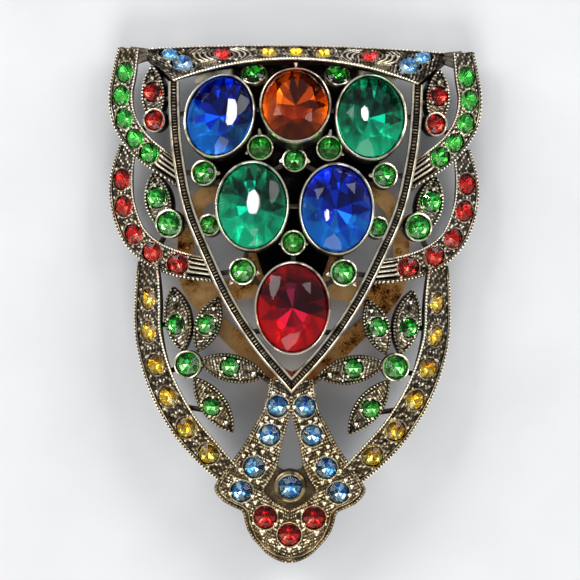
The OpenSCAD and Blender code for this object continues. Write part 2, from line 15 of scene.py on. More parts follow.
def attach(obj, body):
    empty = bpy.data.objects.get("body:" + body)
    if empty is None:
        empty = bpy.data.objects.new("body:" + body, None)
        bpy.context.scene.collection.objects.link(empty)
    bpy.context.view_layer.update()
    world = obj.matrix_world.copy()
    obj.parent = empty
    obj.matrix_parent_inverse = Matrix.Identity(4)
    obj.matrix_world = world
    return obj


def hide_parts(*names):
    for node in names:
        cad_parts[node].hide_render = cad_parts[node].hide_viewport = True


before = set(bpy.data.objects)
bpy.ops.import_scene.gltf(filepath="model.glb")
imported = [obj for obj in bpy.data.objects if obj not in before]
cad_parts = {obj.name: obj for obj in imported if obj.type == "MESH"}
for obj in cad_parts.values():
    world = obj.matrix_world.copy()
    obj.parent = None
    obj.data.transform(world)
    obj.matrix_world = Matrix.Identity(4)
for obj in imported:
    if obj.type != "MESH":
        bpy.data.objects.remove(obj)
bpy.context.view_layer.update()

MM = 0.001

# %% [markdown]
# ## The dome
# The real casting is bent like a shield: flat in the middle, falling off towards both sides and
# towards the tip. One height formula carries every piece of metal, so they all meet.

# %% The dome
DOME_TOP = 7.6
BEND_R = 18.3
FLAT_HALF = 9.0
TIP_START = 6.0
TIP_BEND = 0.005


def dome_z(x, y):
    """Height: the top, less a circular fall past the flat half width, less a parabola at the tip."""
    u = np.maximum(0, np.abs(x) - FLAT_HALF)
    v = np.maximum(0, -np.asarray(y) - TIP_START)
    return DOME_TOP - (BEND_R - np.sqrt(BEND_R**2 - u**2)) - TIP_BEND * v**2


def on_dome(x, y):
    """The point of the dome over a place in plan."""
    return np.array([x, y, dome_z(x, y)])


X, Y, Z = range(3)


def turn_about(axis, angle):
    """The matrix of a turn about one axis by an angle in radians."""
    a, b = (axis + 1) % 3, (axis + 2) % 3
    matrix = np.eye(3)
    matrix[a, a] = matrix[b, b] = math.cos(angle)
    matrix[a, b], matrix[b, a] = -math.sin(angle), math.sin(angle)
    return matrix


def dome_axes(x, y):
    """Axes of the tangent plane: a turn by the tip's slope about X, then by the side's about Y."""
    side = math.asin(max(0, abs(x) - FLAT_HALF) / BEND_R) * np.sign(x)
    tip = math.atan(2 * TIP_BEND * max(0, -y - TIP_START))
    return turn_about(Y, side) @ turn_about(X, tip)


print("height at the middle and at the side:", dome_z(0, 0), round(float(dome_z(20, 0)), 2))

# %% [markdown]
# ## The bands
# Every band of the casting runs along a smooth curve through a few rows: place in plan, outward
# tilt in degrees, and half width. The right side is given, and the left side is its mirror image.

# %% Tables of the bands
# Columns: place in plan, outward tilt in degrees, half width
UPPER_WING = [
    [19.35, 29.3, 40, 1.7], [19.8, 26.5, 40, 1.9], [20.2, 23.8, 40, 1.9], [19.8, 21.2, 38, 1.9],
    [18.5, 18.9, 34, 1.8], [16.8, 17.2, 26, 1.65], [14.0, 15.2, 10, 1.4],
]
LOWER_WING = [
    [19.45, 17.45, 36, 1.4], [20.0, 14.1, 40, 1.85], [19.75, 11.0, 38, 1.9], [18.5, 7.8, 34, 1.85],
    [16.3, 5.7, 28, 1.75], [13.3, 4.4, 16, 1.6], [9.8, 3.8, 4, 1.4],
]
SIDE_BAND = [
    [16.75, 4.7, 44, 1.7], [16.7, 0.3, 50, 2.4], [16.6, -3.5, 48, 2.35], [15.75, -7.25, 41, 2.2],
    [14.25, -10.9, 33, 2.05], [12.05, -14.45, 25, 1.9], [9.45, -17.4, 18, 1.75], [7.2, -19.6, 14, 1.5],
]
FAN_ARM = [
    [1.25, -8.6, 0, 1.35], [1.55, -11.85, 0, 1.65], [2.45, -15.15, 2, 1.95], [4.15, -18.9, 4, 2.35],
    [5.6, -21.7, 6, 2.35], [6.3, -23.0, 8, 1.9],
]
RAIL_HALF = 0.65
RAIL_LINE = [
    (14.05, 25.4), (13.9, 21.2), (13.45, 16.9), (12.25, 11.2), (10.2, 6.1), (7.3, 0.2), (3.9, -4.9),
    (-0.45, -9.9),
]
RAIL = [[x, y, 0, RAIL_HALF] for x, y in RAIL_LINE]


def curve_at(rows, s):
    """A Catmull-Rom curve through the rows, at places s counted in rows."""
    rows = np.asarray(rows, float)
    s = np.asarray(s, float)
    ends = np.vstack([2 * rows[0] - rows[1], rows, 2 * rows[-1] - rows[-2]])
    i = np.clip(np.floor(s).astype(int), 0, len(rows) - 2)
    t = (s - i)[..., None]
    a, b, c, d = (ends[i + k] for k in range(4))
    return 0.5 * (2 * b + (c - a) * t + (2 * a - 5 * b + 4 * c - d) * t**2 + (3 * b - a - 3 * c + d) * t**3)


def unit(v):
    """Vectors of length one along the last axis."""
    return v / np.linalg.norm(v, axis=-1, keepdims=True)


def band_frames(rows, s):
    """Centres on the dome, and the axes across and out of the band, tilted by the third column."""
    step = 0.02
    p = curve_at(rows, s)
    d = unit((curve_at(rows, s + step) - curve_at(rows, s - step))[:, :2])
    tilt = np.radians(p[:, 2])
    centre = np.column_stack([p[:, 0], p[:, 1], dome_z(p[:, 0], p[:, 1])])
    across = np.column_stack([-d[:, 1] * np.cos(tilt), d[:, 0] * np.cos(tilt), -np.sin(tilt)])
    out = np.column_stack([-d[:, 1] * np.sin(tilt), d[:, 0] * np.sin(tilt), np.cos(tilt)])
    return centre, across, out


SAMPLES_A_ROW = 60


def even_places(rows, spacing):
    """Places an equal length apart along a band, their lengths in mm, and a function from row to length."""
    fine = np.linspace(0, len(rows) - 1, SAMPLES_A_ROW * len(rows))
    centre = band_frames(rows, fine)[0]
    run = np.r_[0, np.cumsum(np.linalg.norm(np.diff(centre, axis=0), axis=1))]
    length = np.linspace(0, run[-1], int(run[-1] / spacing) + 1)
    return np.interp(length, run, fine), length, lambda row: np.interp(row, fine, run)


print("length of a side band:", round(float(even_places(SIDE_BAND, 0.1)[1][-1]), 2), "mm")

# %% [markdown]
# ## From grids to meshes
# A closed profile carried along a path gives a grid of points. `tube` turns such a grid into a
# closed skin, and each vertex keeps a number called crest: 1 where polishing and wear reach the
# metal, 0 down in the recesses. The finish reads it later.

# %% Grids to meshes
def outward(part):
    """Turns a closed skin so that its faces point outwards, by the sign of its volume."""
    v, q, t = part["v"], part["q"], part["t"]
    tris = np.concatenate([q[:, [0, 1, 2]], q[:, [0, 2, 3]], t])
    a, b, c = v[tris[:, 0]], v[tris[:, 1]], v[tris[:, 2]]
    if np.einsum("ij,ij->i", a, np.cross(b, c)).sum() < 0:
        part["q"], part["t"] = q[:, ::-1], t[:, ::-1]
    return part


def tube(points, crest, closed_path=False):
    """A closed skin through a grid of rings. Open ends get a fan of triangles to their middle."""
    n, m = points.shape[:2]
    index = np.arange(n * m).reshape(n, m)
    rows = index if closed_path else index[:-1]
    ahead = np.roll(index, -1, axis=0) if closed_path else index[1:]
    quads = np.stack([rows, np.roll(rows, -1, axis=1), np.roll(ahead, -1, axis=1), ahead], axis=-1)
    quads = quads.reshape(-1, 4)
    v, c = points.reshape(-1, 3), crest.reshape(-1)
    if closed_path:
        return outward({"v": v, "q": quads, "t": np.zeros((0, 3), int), "c": c})
    v = np.vstack([v, points[0].mean(axis=0), points[-1].mean(axis=0)])
    c = np.r_[c, crest[0].mean(), crest[-1].mean()]
    first = np.column_stack([np.roll(index[0], -1), index[0], np.full(m, n * m)])
    last = np.column_stack([index[-1], np.roll(index[-1], -1), np.full(m, n * m + 1)])
    return outward({"v": v, "q": quads, "t": np.concatenate([first, last]), "c": c})


def join(parts):
    """Several skins as one."""
    start = np.cumsum([0] + [len(p["v"]) for p in parts[:-1]])
    return {
        "v": np.concatenate([p["v"] for p in parts]),
        "q": np.concatenate([p["q"] + k for p, k in zip(parts, start)]),
        "t": np.concatenate([p["t"] + k for p, k in zip(parts, start)]),
        "c": np.concatenate([p["c"] for p in parts]),
    }


def mirrored(part):
    """The mirror image in the plane x = 0, turned so that its faces still point outwards."""
    return dict(part, v=part["v"] * [-1, 1, 1], q=part["q"][:, ::-1], t=part["t"][:, ::-1])


SIDES = {"right": lambda part: part, "left": mirrored}
# Edges bent by more than this are shaded sharp
SHARP = math.radians(48)
metal_pieces = []


def new_object(name, data):
    """An object of the scene that shows a mesh, a light or a camera."""
    obj = bpy.data.objects.new(name, data)
    bpy.context.scene.collection.objects.link(obj)
    return obj


def piece(name, part, body="shield"):
    """Puts a skin into a new mesh object that rides on a body."""
    mesh = bpy.data.meshes.new(name)
    quads, tris = part["q"], part["t"]
    corners = np.concatenate([quads.ravel(), tris.ravel()])
    starts = np.concatenate([np.arange(len(quads)) * 4, len(quads) * 4 + np.arange(len(tris)) * 3])
    mesh.vertices.add(len(part["v"]))
    mesh.vertices.foreach_set("co", (part["v"] * MM).astype(np.float32).ravel())
    mesh.loops.add(len(corners))
    mesh.polygons.add(len(starts))
    mesh.polygons.foreach_set("loop_start", starts.astype(np.int32))
    mesh.polygons.foreach_set("vertices", corners.astype(np.int32))
    mesh.update(calc_edges=True)
    mesh.validate()
    mesh.attributes.new("crest", "FLOAT", "POINT").data.foreach_set("value", part["c"].astype(np.float32))
    mesh.shade_smooth()
    mesh.set_sharp_from_angle(angle=SHARP)
    obj = new_object(name, mesh)
    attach(obj, body)
    metal_pieces.append(obj)
    return obj


def piece_pair(name, part):
    """A skin as two pieces, one on the right and its mirror image on the left."""
    for side, turned in SIDES.items():
        piece(f"{name}_{side}", turned(part))


def smooth_step(low, high, x):
    """0 below low, 1 above high, and an S curve between them."""
    t = np.clip((x - low) / (high - low), 0, 1)
    return t * t * (3 - 2 * t)


print("mesh helpers ready")

# %% [markdown]
# ## Milled edges and pits
# A wheel rolled along the metal leaves tiny grains. The outer edges of the bands carry them as fine
# ticks, like the edge of a coin, with a thin line inside. The inner edges are one thin line, and the
# leaves have round grains. All three are waves along the rim that lower the metal between the
# grains. Between the rims lies the sunk floor, with a round pit for every stone.

# %% The carved band
GRAIN_PITCH = 0.38
GRAIN_DEPTH = 0.16
# How far the gaps between the grains cut into the outside of a rim, and how dark they are
GRAIN_BITE, GRAIN_SHADE = 0.06, 0.95
STEP = GRAIN_PITCH / 5
EDGE_RISE = 0.3
CAST_T = 1.1
# Columns: inset from the side of the band, height as a share of the rim, crest, share of the grain
COIN_RIM = np.array([
    [0.10, -3.66, 0.1, 0], [0.0, -3.3, 0.1, 0], [0.0, -1.0, 0.2, 0.2], [0.0, 0.0, 0.6, 0.9],
    [0.03, 0.65, 1, 1], [0.10, 0.98, 1, 1], [0.22, 0.98, 1, 1], [0.32, 0.85, 0.9, 1],
    [0.37, 0.4, 0.1, 0.3], [0.40, 0.5, 0.5, 0.1], [0.44, 0.62, 0.9, 0.1], [0.48, 0.4, 0.4, 0.1],
    [0.52, 0.0, 0.1, 0],
])
LINE_RIM = np.array([
    [0.10, -3.66, 0.1, 0], [0.0, -3.3, 0.1, 0], [0.0, -0.8, 0.12, 0], [0.0, 0.2, 0.5, 0.1],
    [0.04, 0.8, 1, 0.4], [0.12, 1.0, 1, 0.7], [0.21, 0.95, 1, 0.7], [0.28, 0.4, 0.2, 0.3],
    [0.35, 0.05, 0.06, 0],
])
GRAIN_RIM = np.array([
    [0.10, -3.66, 0.1, 0], [0.0, -3.3, 0.1, 0], [0.0, -0.6, 0.1, 0.2], [0.01, 0.3, 0.6, 1],
    [0.07, 0.95, 1, 1], [0.17, 1.1, 1, 1], [0.27, 0.85, 1, 1], [0.33, 0.2, 0.15, 0.3],
    [0.38, 0.0, 0.08, 0],
])
# The inner rims are undercut, because the bands lean outwards and the top band leans back
UNDERCUT_RIM = np.array([
    [0.95, -3.66, 0.05, 0], [0.88, -3.3, 0.05, 0], [0.32, -1.0, 0.05, 0], [0.04, 0.1, 0.5, 0.1],
    [0.03, 0.75, 1, 0.4], [0.1, 1.0, 1, 0.6], [0.2, 0.95, 1, 0.6], [0.28, 0.4, 0.2, 0.3],
    [0.35, 0.05, 0.06, 0],
])


def grain(length):
    """1 on each grain and 0 between two grains, as a cosine of the length along the rim."""
    return 0.5 + 0.5 * np.cos(2 * np.pi * length / GRAIN_PITCH)


# Rows of a profile lower than this are the foot of the wall, and go down to the band's under side
FOOT_BELOW = -1.5
# The outside of a rim is what lies less than this far inside the edge of the band
OUTSIDE = 0.2


def rim_columns(half, length, profile, rise=EDGE_RISE, depth=CAST_T):
    """Distance from the middle, height and crest of one rim, for each place along it."""
    inset, height, crest, share = profile.T
    gap = (1 - grain(length))[:, None] * share
    u = half[:, None] - inset - GRAIN_BITE * gap * (inset < OUTSIDE)
    w = np.where(height < FOOT_BELOW, -depth * height / profile[0, 1], height * rise) - GRAIN_DEPTH * gap
    return u, np.broadcast_to(w, u.shape), np.broadcast_to(crest, u.shape) * (1 - GRAIN_SHADE * gap)


PIT_DEPTH = 0.84
PIT_INSET = 0.1
PIT_WALL = 0.22
# The collar's height, its distance from the stone's edge and its width
COLLAR_RISE, COLLAR_OUT, COLLAR_WIDTH = 0.06, 0.2, 0.09


def pits(u, length, stones):
    """Depth shares of the pits, and of the low collar of pushed-up metal round each of them."""
    depth = np.zeros(np.broadcast(u, length).shape)
    collar = depth.copy()
    for at, across, radius in stones:
        d = np.hypot(u - across, length - at)
        depth = np.maximum(depth, 1 - smooth_step(radius - PIT_INSET, radius - PIT_INSET + PIT_WALL, d))
        collar = np.maximum(collar, np.exp(-((d - radius - COLLAR_OUT) / COLLAR_WIDTH) ** 2))
    return depth, collar * (1 - depth)


def band_grid(centre, across, out, u, w):
    """Points of a band: u along the axis across it and w along the axis out of it, from its centre."""
    return centre[:, None] + u[..., None] * across[:, None] + w[..., None] * out[:, None]


def carved(centre, across, out, half, length, stones, relief, rims, columns=27, depth=CAST_T):
    """A band as one skin: outer rim, floor with pits and relief, inner rim and under side."""
    outer, inner = (rim_columns(half, length, profile, depth=depth) for profile in rims)
    share = np.linspace(0, 1, columns + 2)[1:-1]
    start, end = outer[0][:, -1:], -inner[0][:, -1:]
    floor_u = start + share * (end - start)
    rise, floor_crest = relief(floor_u, length[:, None], half[:, None])
    pit, collar = pits(floor_u, length[:, None], stones)
    floor_w = rise * (1 - pit) - PIT_DEPTH * pit + COLLAR_RISE * collar
    floor_c = np.maximum(floor_crest * (1 - pit), 0.6 * collar)
    u = np.hstack([outer[0], floor_u, -inner[0][:, ::-1]])
    w = np.hstack([outer[1], floor_w, inner[1][:, ::-1]])
    c = np.hstack([outer[2], floor_c, inner[2][:, ::-1]])
    return tube(band_grid(centre, across, out, u, w), c)


print("rim profile points:", len(COIN_RIM), len(LINE_RIM), len(GRAIN_RIM))

# %% [markdown]
# ## Relief on the floors
# Between the stones the floor is cast rough, the leaves are covered with small dots, and where a wing
# runs into the rail it is fluted. Each is a height function of the place across and along the band.

# %% Relief functions
def pebbled(u, length, half):
    """A cast skin: two crossed waves with a slow third one, low and uneven, and bright only on their tops."""
    crossed = np.sin(9.1 * u + 2.3 * length) * np.sin(7.3 * length - 3.1 * u)
    wave = crossed + 0.6 * np.sin(3.7 * length + 5.9 * u)
    return 0.07 * wave, 0.16 + 0.5 * np.clip(wave, 0, 1) ** 1.5


DOT_PITCH = 0.6


def dotted(u, length, half):
    """Rows of small dots, the product of two cosines. Each row is shifted by half a dot and a little bent,
    and the dots grow and shrink in patches."""
    bend = 0.16 * np.sin(3.1 * length + 0.7 * u) + 0.13 * np.sin(4.3 * u - 1.1 * length)
    one = np.cos(2 * np.pi * (u + 0.5 * length + bend) / DOT_PITCH)
    other = np.cos(2 * np.pi * (length - 0.35 * u - bend) / DOT_PITCH)
    dot = np.clip(1.4 * one * other, 0, 1) ** 0.7 * (0.7 + 0.3 * np.sin(2.9 * length + 1.7 * u))
    return 0.18 * dot - 0.05, 0.08 + 0.95 * dot ** 1.3


def fluted_end(start, flutes=4):
    """Pebbled floor with ribs along the band past the start, as many as the flutes across it."""
    def relief(u, length, half):
        rise, crest = pebbled(u, length, half)
        share = smooth_step(start - 0.4, start + 0.3, length)
        rib = np.abs(np.cos(np.pi * flutes * (u / (half - 0.4) + 1) / 2))
        rise = rise * (1 - share) + share * (0.3 * rib**0.7 - 0.08)
        return rise, crest * (1 - share) + share * 0.9 * rib**2.5
    return relief


print("relief functions: pebbled, dotted, fluted_end")

# %% [markdown]
# ## Beads
# Between and beside the stones stand tiny beads, raised from the metal with a beading tool to hold
# the glass. One half-sphere grid is copied to many places at once.

# %% Beads
BEAD_SIDES = 8
BEAD_RINGS = 4


def beads(places, outs, radii, stretch=0.9):
    """Small domes at the places, along their outward axes: rings of points, and a point at each end."""
    places, outs, radii = np.asarray(places), unit(np.asarray(outs)), np.asarray(radii)
    side = unit(np.cross(outs, [0.31, 0.95, 0.02]))
    up = np.cross(outs, side)
    turn = np.arange(BEAD_SIDES) * 2 * np.pi / BEAD_SIDES
    rise = np.linspace(-0.5, 0.42, BEAD_RINGS) * np.pi
    circle = np.cos(turn)[:, None] * side[:, None, None] + np.sin(turn)[:, None] * up[:, None, None]
    ring = np.cos(rise)[1:, None, None] * circle
    dome = ring + stretch * np.sin(rise)[1:, None, None] * outs[:, None, None]
    v = places[:, None, None] + radii[:, None, None, None] * dome
    n, rings = len(places), BEAD_RINGS - 1
    top = places + stretch * radii[:, None] * outs
    low = places - stretch * radii[:, None] * outs
    v = np.concatenate([v.reshape(n, -1, 3), top[:, None], low[:, None]], axis=1)
    k = np.arange(BEAD_SIDES)
    j = (k + 1) % BEAD_SIDES
    lower = np.concatenate([r * BEAD_SIDES + np.column_stack([k, j]) for r in range(rings - 1)])
    quads = np.hstack([lower, lower[:, ::-1] + BEAD_SIDES])
    last = (rings - 1) * BEAD_SIDES
    tris = np.concatenate([np.column_stack([last + k, last + j, np.full(BEAD_SIDES, rings * BEAD_SIDES)]),
                           np.column_stack([j, k, np.full(BEAD_SIDES, rings * BEAD_SIDES + 1)])])
    step = (np.arange(n) * v.shape[1])[:, None, None]
    heights = np.r_[np.repeat([0.0, 0.5, 0.9][:rings], BEAD_SIDES), 1.0, 0.0]
    part = {"v": v.reshape(-1, 3), "q": (quads + step).reshape(-1, 4), "t": (tris + step).reshape(-1, 3),
            "c": np.tile(heights, n)}
    return outward(part)


# Columns: place across the band, share of the usual size
BEADS_BETWEEN = [(-0.55, 0.8), (0, 1.1), (0.5, 0.7)]


def band_beads(rows, stones, radius, spread=0.86, size=0.16):
    """Four beads round each stone and three between two neighbours, on a band's floor."""
    length_of = even_places(rows, 1)[2]
    fine = np.linspace(0, len(rows) - 1, 200)
    runs = length_of(np.array(stones, float))
    corners = [(a, b) for a in (-1, 1) for b in (-1, 1)]
    spots = [(r + a * spread * radius, b * spread * radius, size) for r in runs for a, b in corners]
    between = (runs[1:] + runs[:-1]) / 2
    spots += [(mid, b, size * k) for mid in between for b, k in BEADS_BETWEEN]
    spots = np.array(spots)
    centre, across, out = band_frames(rows, np.interp(spots[:, 0], length_of(fine), fine))
    return beads(centre + spots[:, 1:2] * across + 0.02 * out, out, spots[:, 2])


print("faces of a bead:", BEAD_SIDES * BEAD_RINGS)

# %% [markdown]
# ## Wings and side bands
# Each is the same carved band with its own table, stones and relief. A band that comes out from
# under a neighbour starts a little lower. A wing is sheared where it ends, so that it meets the rail
# along the rail's own slant.

# %% Wings and bands
BAND_STONE_R = 1.15
# Lengths over which a tucked start comes up and a sheared end turns, and the steps added at an end
TUCK_RUN, SHEAR_RUN = 1.8, 3.2
ADDED_STEPS = 8


def band_piece(rows, stones, relief, tuck, shear, past):
    """The carved band along a table. Its start is tucked down by a depth, and a shallow tuck starts a few
    steps early. Its end is sheared, and it runs past the last row."""
    s, length, length_of = even_places(rows, STEP)
    before, after = np.arange(-ADDED_STEPS * (0 < tuck < 1), 0), past * np.arange(1, ADDED_STEPS + 1)
    s = np.r_[s[0] + before * (s[1] - s[0]), s, s[-1] + after * (s[-1] - s[-2])]
    length = np.r_[before * STEP, length, length[-1] + after * STEP]
    half = curve_at(rows, s)[:, 3]
    centre, across, out = band_frames(rows, s)
    centre[:, 2] -= tuck * (1 - smooth_step(-0.3, TUCK_RUN, length))
    along = unit(np.gradient(centre, axis=0))
    slant = shear * smooth_step(length[-1] - SHEAR_RUN, length[-1], length)
    spots = [(float(length_of(i)), 0.0, BAND_STONE_R) for i in stones]
    across = across + slant[:, None] * along
    return carved(centre, across, out, half, length, spots, relief, rims=(COIN_RIM, UNDERCUT_RIM))


def end_of(rows, back):
    """Length along a band at a number of rows before its end."""
    return float(even_places(rows, 1)[2](len(rows) - 1 - back))


# Columns: table, rows with stones, relief, depth of the tucked start, shear of the end, and the length
# of the steps past the end as a share of the usual step
BANDS = {
    "upper_wing": (UPPER_WING, range(1, 6), fluted_end(end_of(UPPER_WING, 0.55)), 0, 1.0, 1.0),
    "lower_wing": (LOWER_WING, range(1, 6), fluted_end(end_of(LOWER_WING, 0.62)), 0.6, 0.7, 0.5),
    "side_band": (SIDE_BAND, range(1, 7), pebbled, 1.1, 0, 0.5),
}
for name, (rows, stones, *shape) in BANDS.items():
    part = join([band_piece(rows, stones, *shape), band_beads(rows, list(stones), BAND_STONE_R + 0.12)])
    piece_pair(name, part)
    print(name, len(part["q"]) * 2 + len(part["t"]), "triangles a side")

# %% [markdown]
# ## The rail
# Two thin polished edges frame the centre panel. Between them lies a ladder: a dark groove crossed
# by small ribs. The ribs are a narrow wave along the rail, and their spacing drifts a little. At the
# tip the two rails meet in a mitre, so each one stops at the middle of the clip.

# %% The rail
# Columns: place across, height, crest, share of the ribs
RAIL_PROFILE = np.array([
    [0.55, -1.15, 0.1, 0], [0.65, -1.1, 0.1, 0], [0.65, 0.2, 0.3, 0], [0.64, 0.5, 0.9, 0],
    [0.60, 0.68, 1, 0], [0.46, 0.7, 1, 0], [0.36, 0.64, 0.75, 0], [0.30, 0.45, 0.12, 0.2],
    [0.25, 0.34, 0.05, 0.6], [0.14, 0.34, 0.14, 1], [0.0, 0.36, 0.16, 1],
])
RAIL_RIB_PITCH = 0.35
RAIL_RIB_H = 0.28


def rail_part():
    """The rail's profile and its mirror image, swept down one side, with ribs in the groove."""
    s, length, _ = even_places(RAIL, RAIL_RIB_PITCH / 7)
    centre, across, out = band_frames(RAIL, s)
    profile = np.vstack([RAIL_PROFILE, RAIL_PROFILE[-2::-1] * [-1, 1, 1, 1]])
    drift = 0.08 * np.sin(1.3 * length) + 0.05 * np.sin(3.1 * length)
    wave = (0.5 + 0.5 * np.cos(2 * np.pi * (length + drift) / RAIL_RIB_PITCH))[:, None]
    uneven = (0.7 + 0.3 * np.sin(2.1 * length) * np.sin(0.7 * length + 1))[:, None]
    u = np.broadcast_to(profile[:, 0], (len(s), len(profile)))
    w = profile[:, 1] + RAIL_RIB_H * uneven * wave * profile[:, 3]
    rubbed = (0.8 + 0.2 * np.sin(0.55 * length + 1) * np.sin(1.7 * length))[:, None]
    c = profile[:, 2] * rubbed + 0.55 * uneven * wave * profile[:, 3]
    points = band_grid(centre, across, out, u, w)
    points[..., 0] = np.maximum(points[..., 0], 0)
    return tube(points, c)


rail = rail_part()
piece_pair("rail", rail)
print("rail:", len(rail["q"]), "faces a side")

# %% [markdown]
# ## The top band
# The top band is folded back from the front arch to the back rim. It is ruled: each place lies a
# share of the way along two curves, and straight between them.

# %% The top band
TOP_FRONT_HALF, TOP_BACK_HALF = 14.0, 18.1
TOP_FRONT_Y, TOP_ARCH = 28.05, 0.0139
TOP_BACK_Y, TOP_BACK_ARCH = 29.75, 0.0018
TOP_DROP = 3.8
TOP_T = 0.95
LEAF_STONE_R = 1.05
# Columns: share of the half length, share from front to back, radius of the stone, lean towards the front
TOP_STONES = {
    "blues": [(0.835, 0.4, 1.12 * LEAF_STONE_R, 20), (0.85, 0.78, 0.97 * LEAF_STONE_R, 8)],
    "reds": [(0.52, 0.6, 1.05 * LEAF_STONE_R, 8)],
    "yellows": [(0.2, 0.56, LEAF_STONE_R, 8)],
}
TOP_CENTRE_F = 0.56
# Places of the beads between the stones, as shares of the half length
TOP_BEADS = np.array([0.085, 0.3, 0.335, 0.41, 0.63, 0.665, 0.7])
TOP_LENGTH = (TOP_FRONT_HALF + TOP_BACK_HALF) / 2


def top_place(s, f):
    """A point of the top band: straight from the front arch to the back rim."""
    x0, x1 = TOP_FRONT_HALF * s, TOP_BACK_HALF * s
    front = np.stack([x0, TOP_FRONT_Y - TOP_ARCH * x0**2, DOME_TOP + 0 * x0], axis=-1)
    back = np.stack([x1, TOP_BACK_Y - TOP_BACK_ARCH * x1**2, DOME_TOP - TOP_DROP + 0 * x1], axis=-1)
    return front + np.asarray(f)[..., None] * (back - front)


def top_axes(s, f=0.5):
    """Axes of the top band: across it, along it, and out of its face."""
    step = 0.02
    s = np.asarray(s, float)
    across = unit(top_place(s, 1.0) - top_place(s, 0.0))
    along = top_place(s + step, f) - top_place(s - step, f)
    out = unit(np.cross(along, across))
    return across, unit(np.cross(out, across)), out


def top_relief(u, length, half):
    """Dotted floor, with curved strokes on both sides of each red stone that fade towards the others."""
    from_red = np.abs(length) - TOP_STONES["reds"][0][0] * TOP_LENGTH
    stroke = 0.5 + 0.5 * np.cos(2 * np.pi * (np.abs(from_red) + 0.45 * u**2 - 0.25 * u) / 0.62)
    share = smooth_step(1.2, 1.5, np.abs(from_red)) * (1 - smooth_step(2.9, 3.5, np.abs(from_red)))
    rise, crest = dotted(u, length, half)
    rise = (1 - share) * rise + share * (0.2 * stroke**1.4 - 0.04)
    return rise, (1 - share) * 0.8 * crest + share * 0.85 * stroke**2


def top_part():
    """The carved band over the ruled frames, with its stones' pits and beads between them."""
    s = np.linspace(-1, 1, 470)
    centre = top_place(s, 0.5)
    across, _, out = top_axes(s)
    half = np.linalg.norm(top_place(s, 1.0) - top_place(s, 0.0), axis=1) / 2
    spots = [(0.0, (2 * TOP_CENTRE_F - 1) * half[len(half) // 2], LEAF_STONE_R)]
    for rows in TOP_STONES.values():
        for share, f, radius, _ in rows:
            for sign in (-1, 1):
                spots.append((sign * share * TOP_LENGTH, (2 * f - 1) * np.interp(share, s, half), radius))
    rims = (LINE_RIM, UNDERCUT_RIM)
    part = carved(centre, across, out, half, s * TOP_LENGTH, spots, top_relief, rims, 31, TOP_T)
    marks = np.r_[-TOP_BEADS, TOP_BEADS]
    at = np.concatenate([top_place(marks, 0.36), top_place(marks, 0.72)])
    return join([part, beads(at, np.tile(top_axes(marks)[2], (2, 1)), np.full(len(at), 0.2))])


piece("top_band", top_part())
print("top band width at the middle and end:", np.round(np.linalg.norm(top_place(np.array([0.0, 1.0]), 1.0)
      - top_place(np.array([0.0, 1.0]), 0.0), axis=1), 2))

# %% [markdown]
# ## The strip inside the top band
# A strip of the casting runs behind the upper stones, near black all over: painted shade. Its lower
# edge catches the light beside the outer ovals, so its crest is high there, a painted highlight, and low
# in between.

# %% The inner strip
# Columns: place across the clip, front edge, back edge
STRIP = [
    [-11.6, 25.2, 28.6], [-7.2, 26.3, 28.85], [-5.5, 25.6, 28.8], [0, 25.6, 28.8], [5.5, 25.6, 28.8],
    [7.2, 26.3, 28.85], [11.6, 25.2, 28.6],
]
STRIP_Z, STRIP_T = 3.75, 0.55


def strip_part():
    """A flat bar whose two edges follow the table, near black as painted shade, with a painted highlight on
    its front edge at its outer ends.
    """
    rows = np.array(STRIP)
    x = np.linspace(rows[0, 0], rows[-1, 0], 90)
    front, back = np.interp(x, rows[:, 0], rows[:, 1]), np.interp(x, rows[:, 0], rows[:, 2])
    y = np.stack([back, front + 0.4, front + 0.08, front, front, back], axis=-1)
    z = STRIP_Z + STRIP_T * np.array([1, 1, 0.95, 0.7, 0, 0])
    points = np.stack([np.broadcast_to(x[:, None], y.shape), y, np.broadcast_to(z, y.shape)], axis=-1)
    # Painted shade: a crest of 0.04, near black; painted highlight: the front edge near both outer ends
    ends = smooth_step(7.0, 7.6, np.abs(x))[:, None]
    crest = 0.04 + ends * np.array([0.0, 0.8, 1.0, 0.8, 0.0, 0.0])
    return tube(points, crest)


piece("inner_strip", strip_part())
print("inner strip from", STRIP[0][0], "to", STRIP[-1][0], "mm")

# %% [markdown]
# ## Leaves
# Each leaf is a band whose half width follows two arcs, so it closes to a point at both ends. Round
# grains border it, small dots cover its dished face, and a dark stem runs from the stone to the tip.

# %% Leaves
# Columns: tip, base, width, place of its stone, radius of the stone
LEAVES = {
    "upper_leaf_red": [(16.6, 27.3), (16.2, 20.4), 3.1, (16.6, 24.2), 1.03 * LEAF_STONE_R],
    "lower_leaf_green": [(16.4, 14.9), (14.9, 8.2), 3.4, (15.9, 12.05), 1.14 * LEAF_STONE_R],
    "sprig_green_outer": [(13.9, 1.8), (12.5, -5.8), 3.3, (13.5, -2.6), LEAF_STONE_R],
    "sprig_green_inner": [(8.6, 0.7), (10.9, -5.8), 3.0, (9.9, -2.55), LEAF_STONE_R],
    "sprig_green_across": [(2.9, -8.4), (10.9, -6.7), 3.3, (7.1, -7.35), LEAF_STONE_R],
    "sprig_green_lower": [(6.6, -15.0), (11.3, -8.6), 3.1, (9.2, -12.0), LEAF_STONE_R],
}
# The narrowest half width that is carved, and how far the leaf runs from its middle, as a share of its size
NARROW = 0.42
LEAF_END = 0.492
DISH = 0.22


def leaf_face(stone_at, size):
    """Dots over a dish that fades out at both ends, with a dark stem line from the stone to the tip."""
    def relief(u, length, half):
        rise, crest = dotted(u, length, half)
        dish = DISH * (1 - (u / half) ** 2) * smooth_step(0, 1.2, size / 2 - np.abs(length))
        stem = smooth_step(1.3, 1.9, length - stone_at) * np.exp(-(u / 0.2) ** 2)
        return rise - dish - 0.08 * stem, (0.2 + crest) * (1 - 0.8 * stem)
    return relief


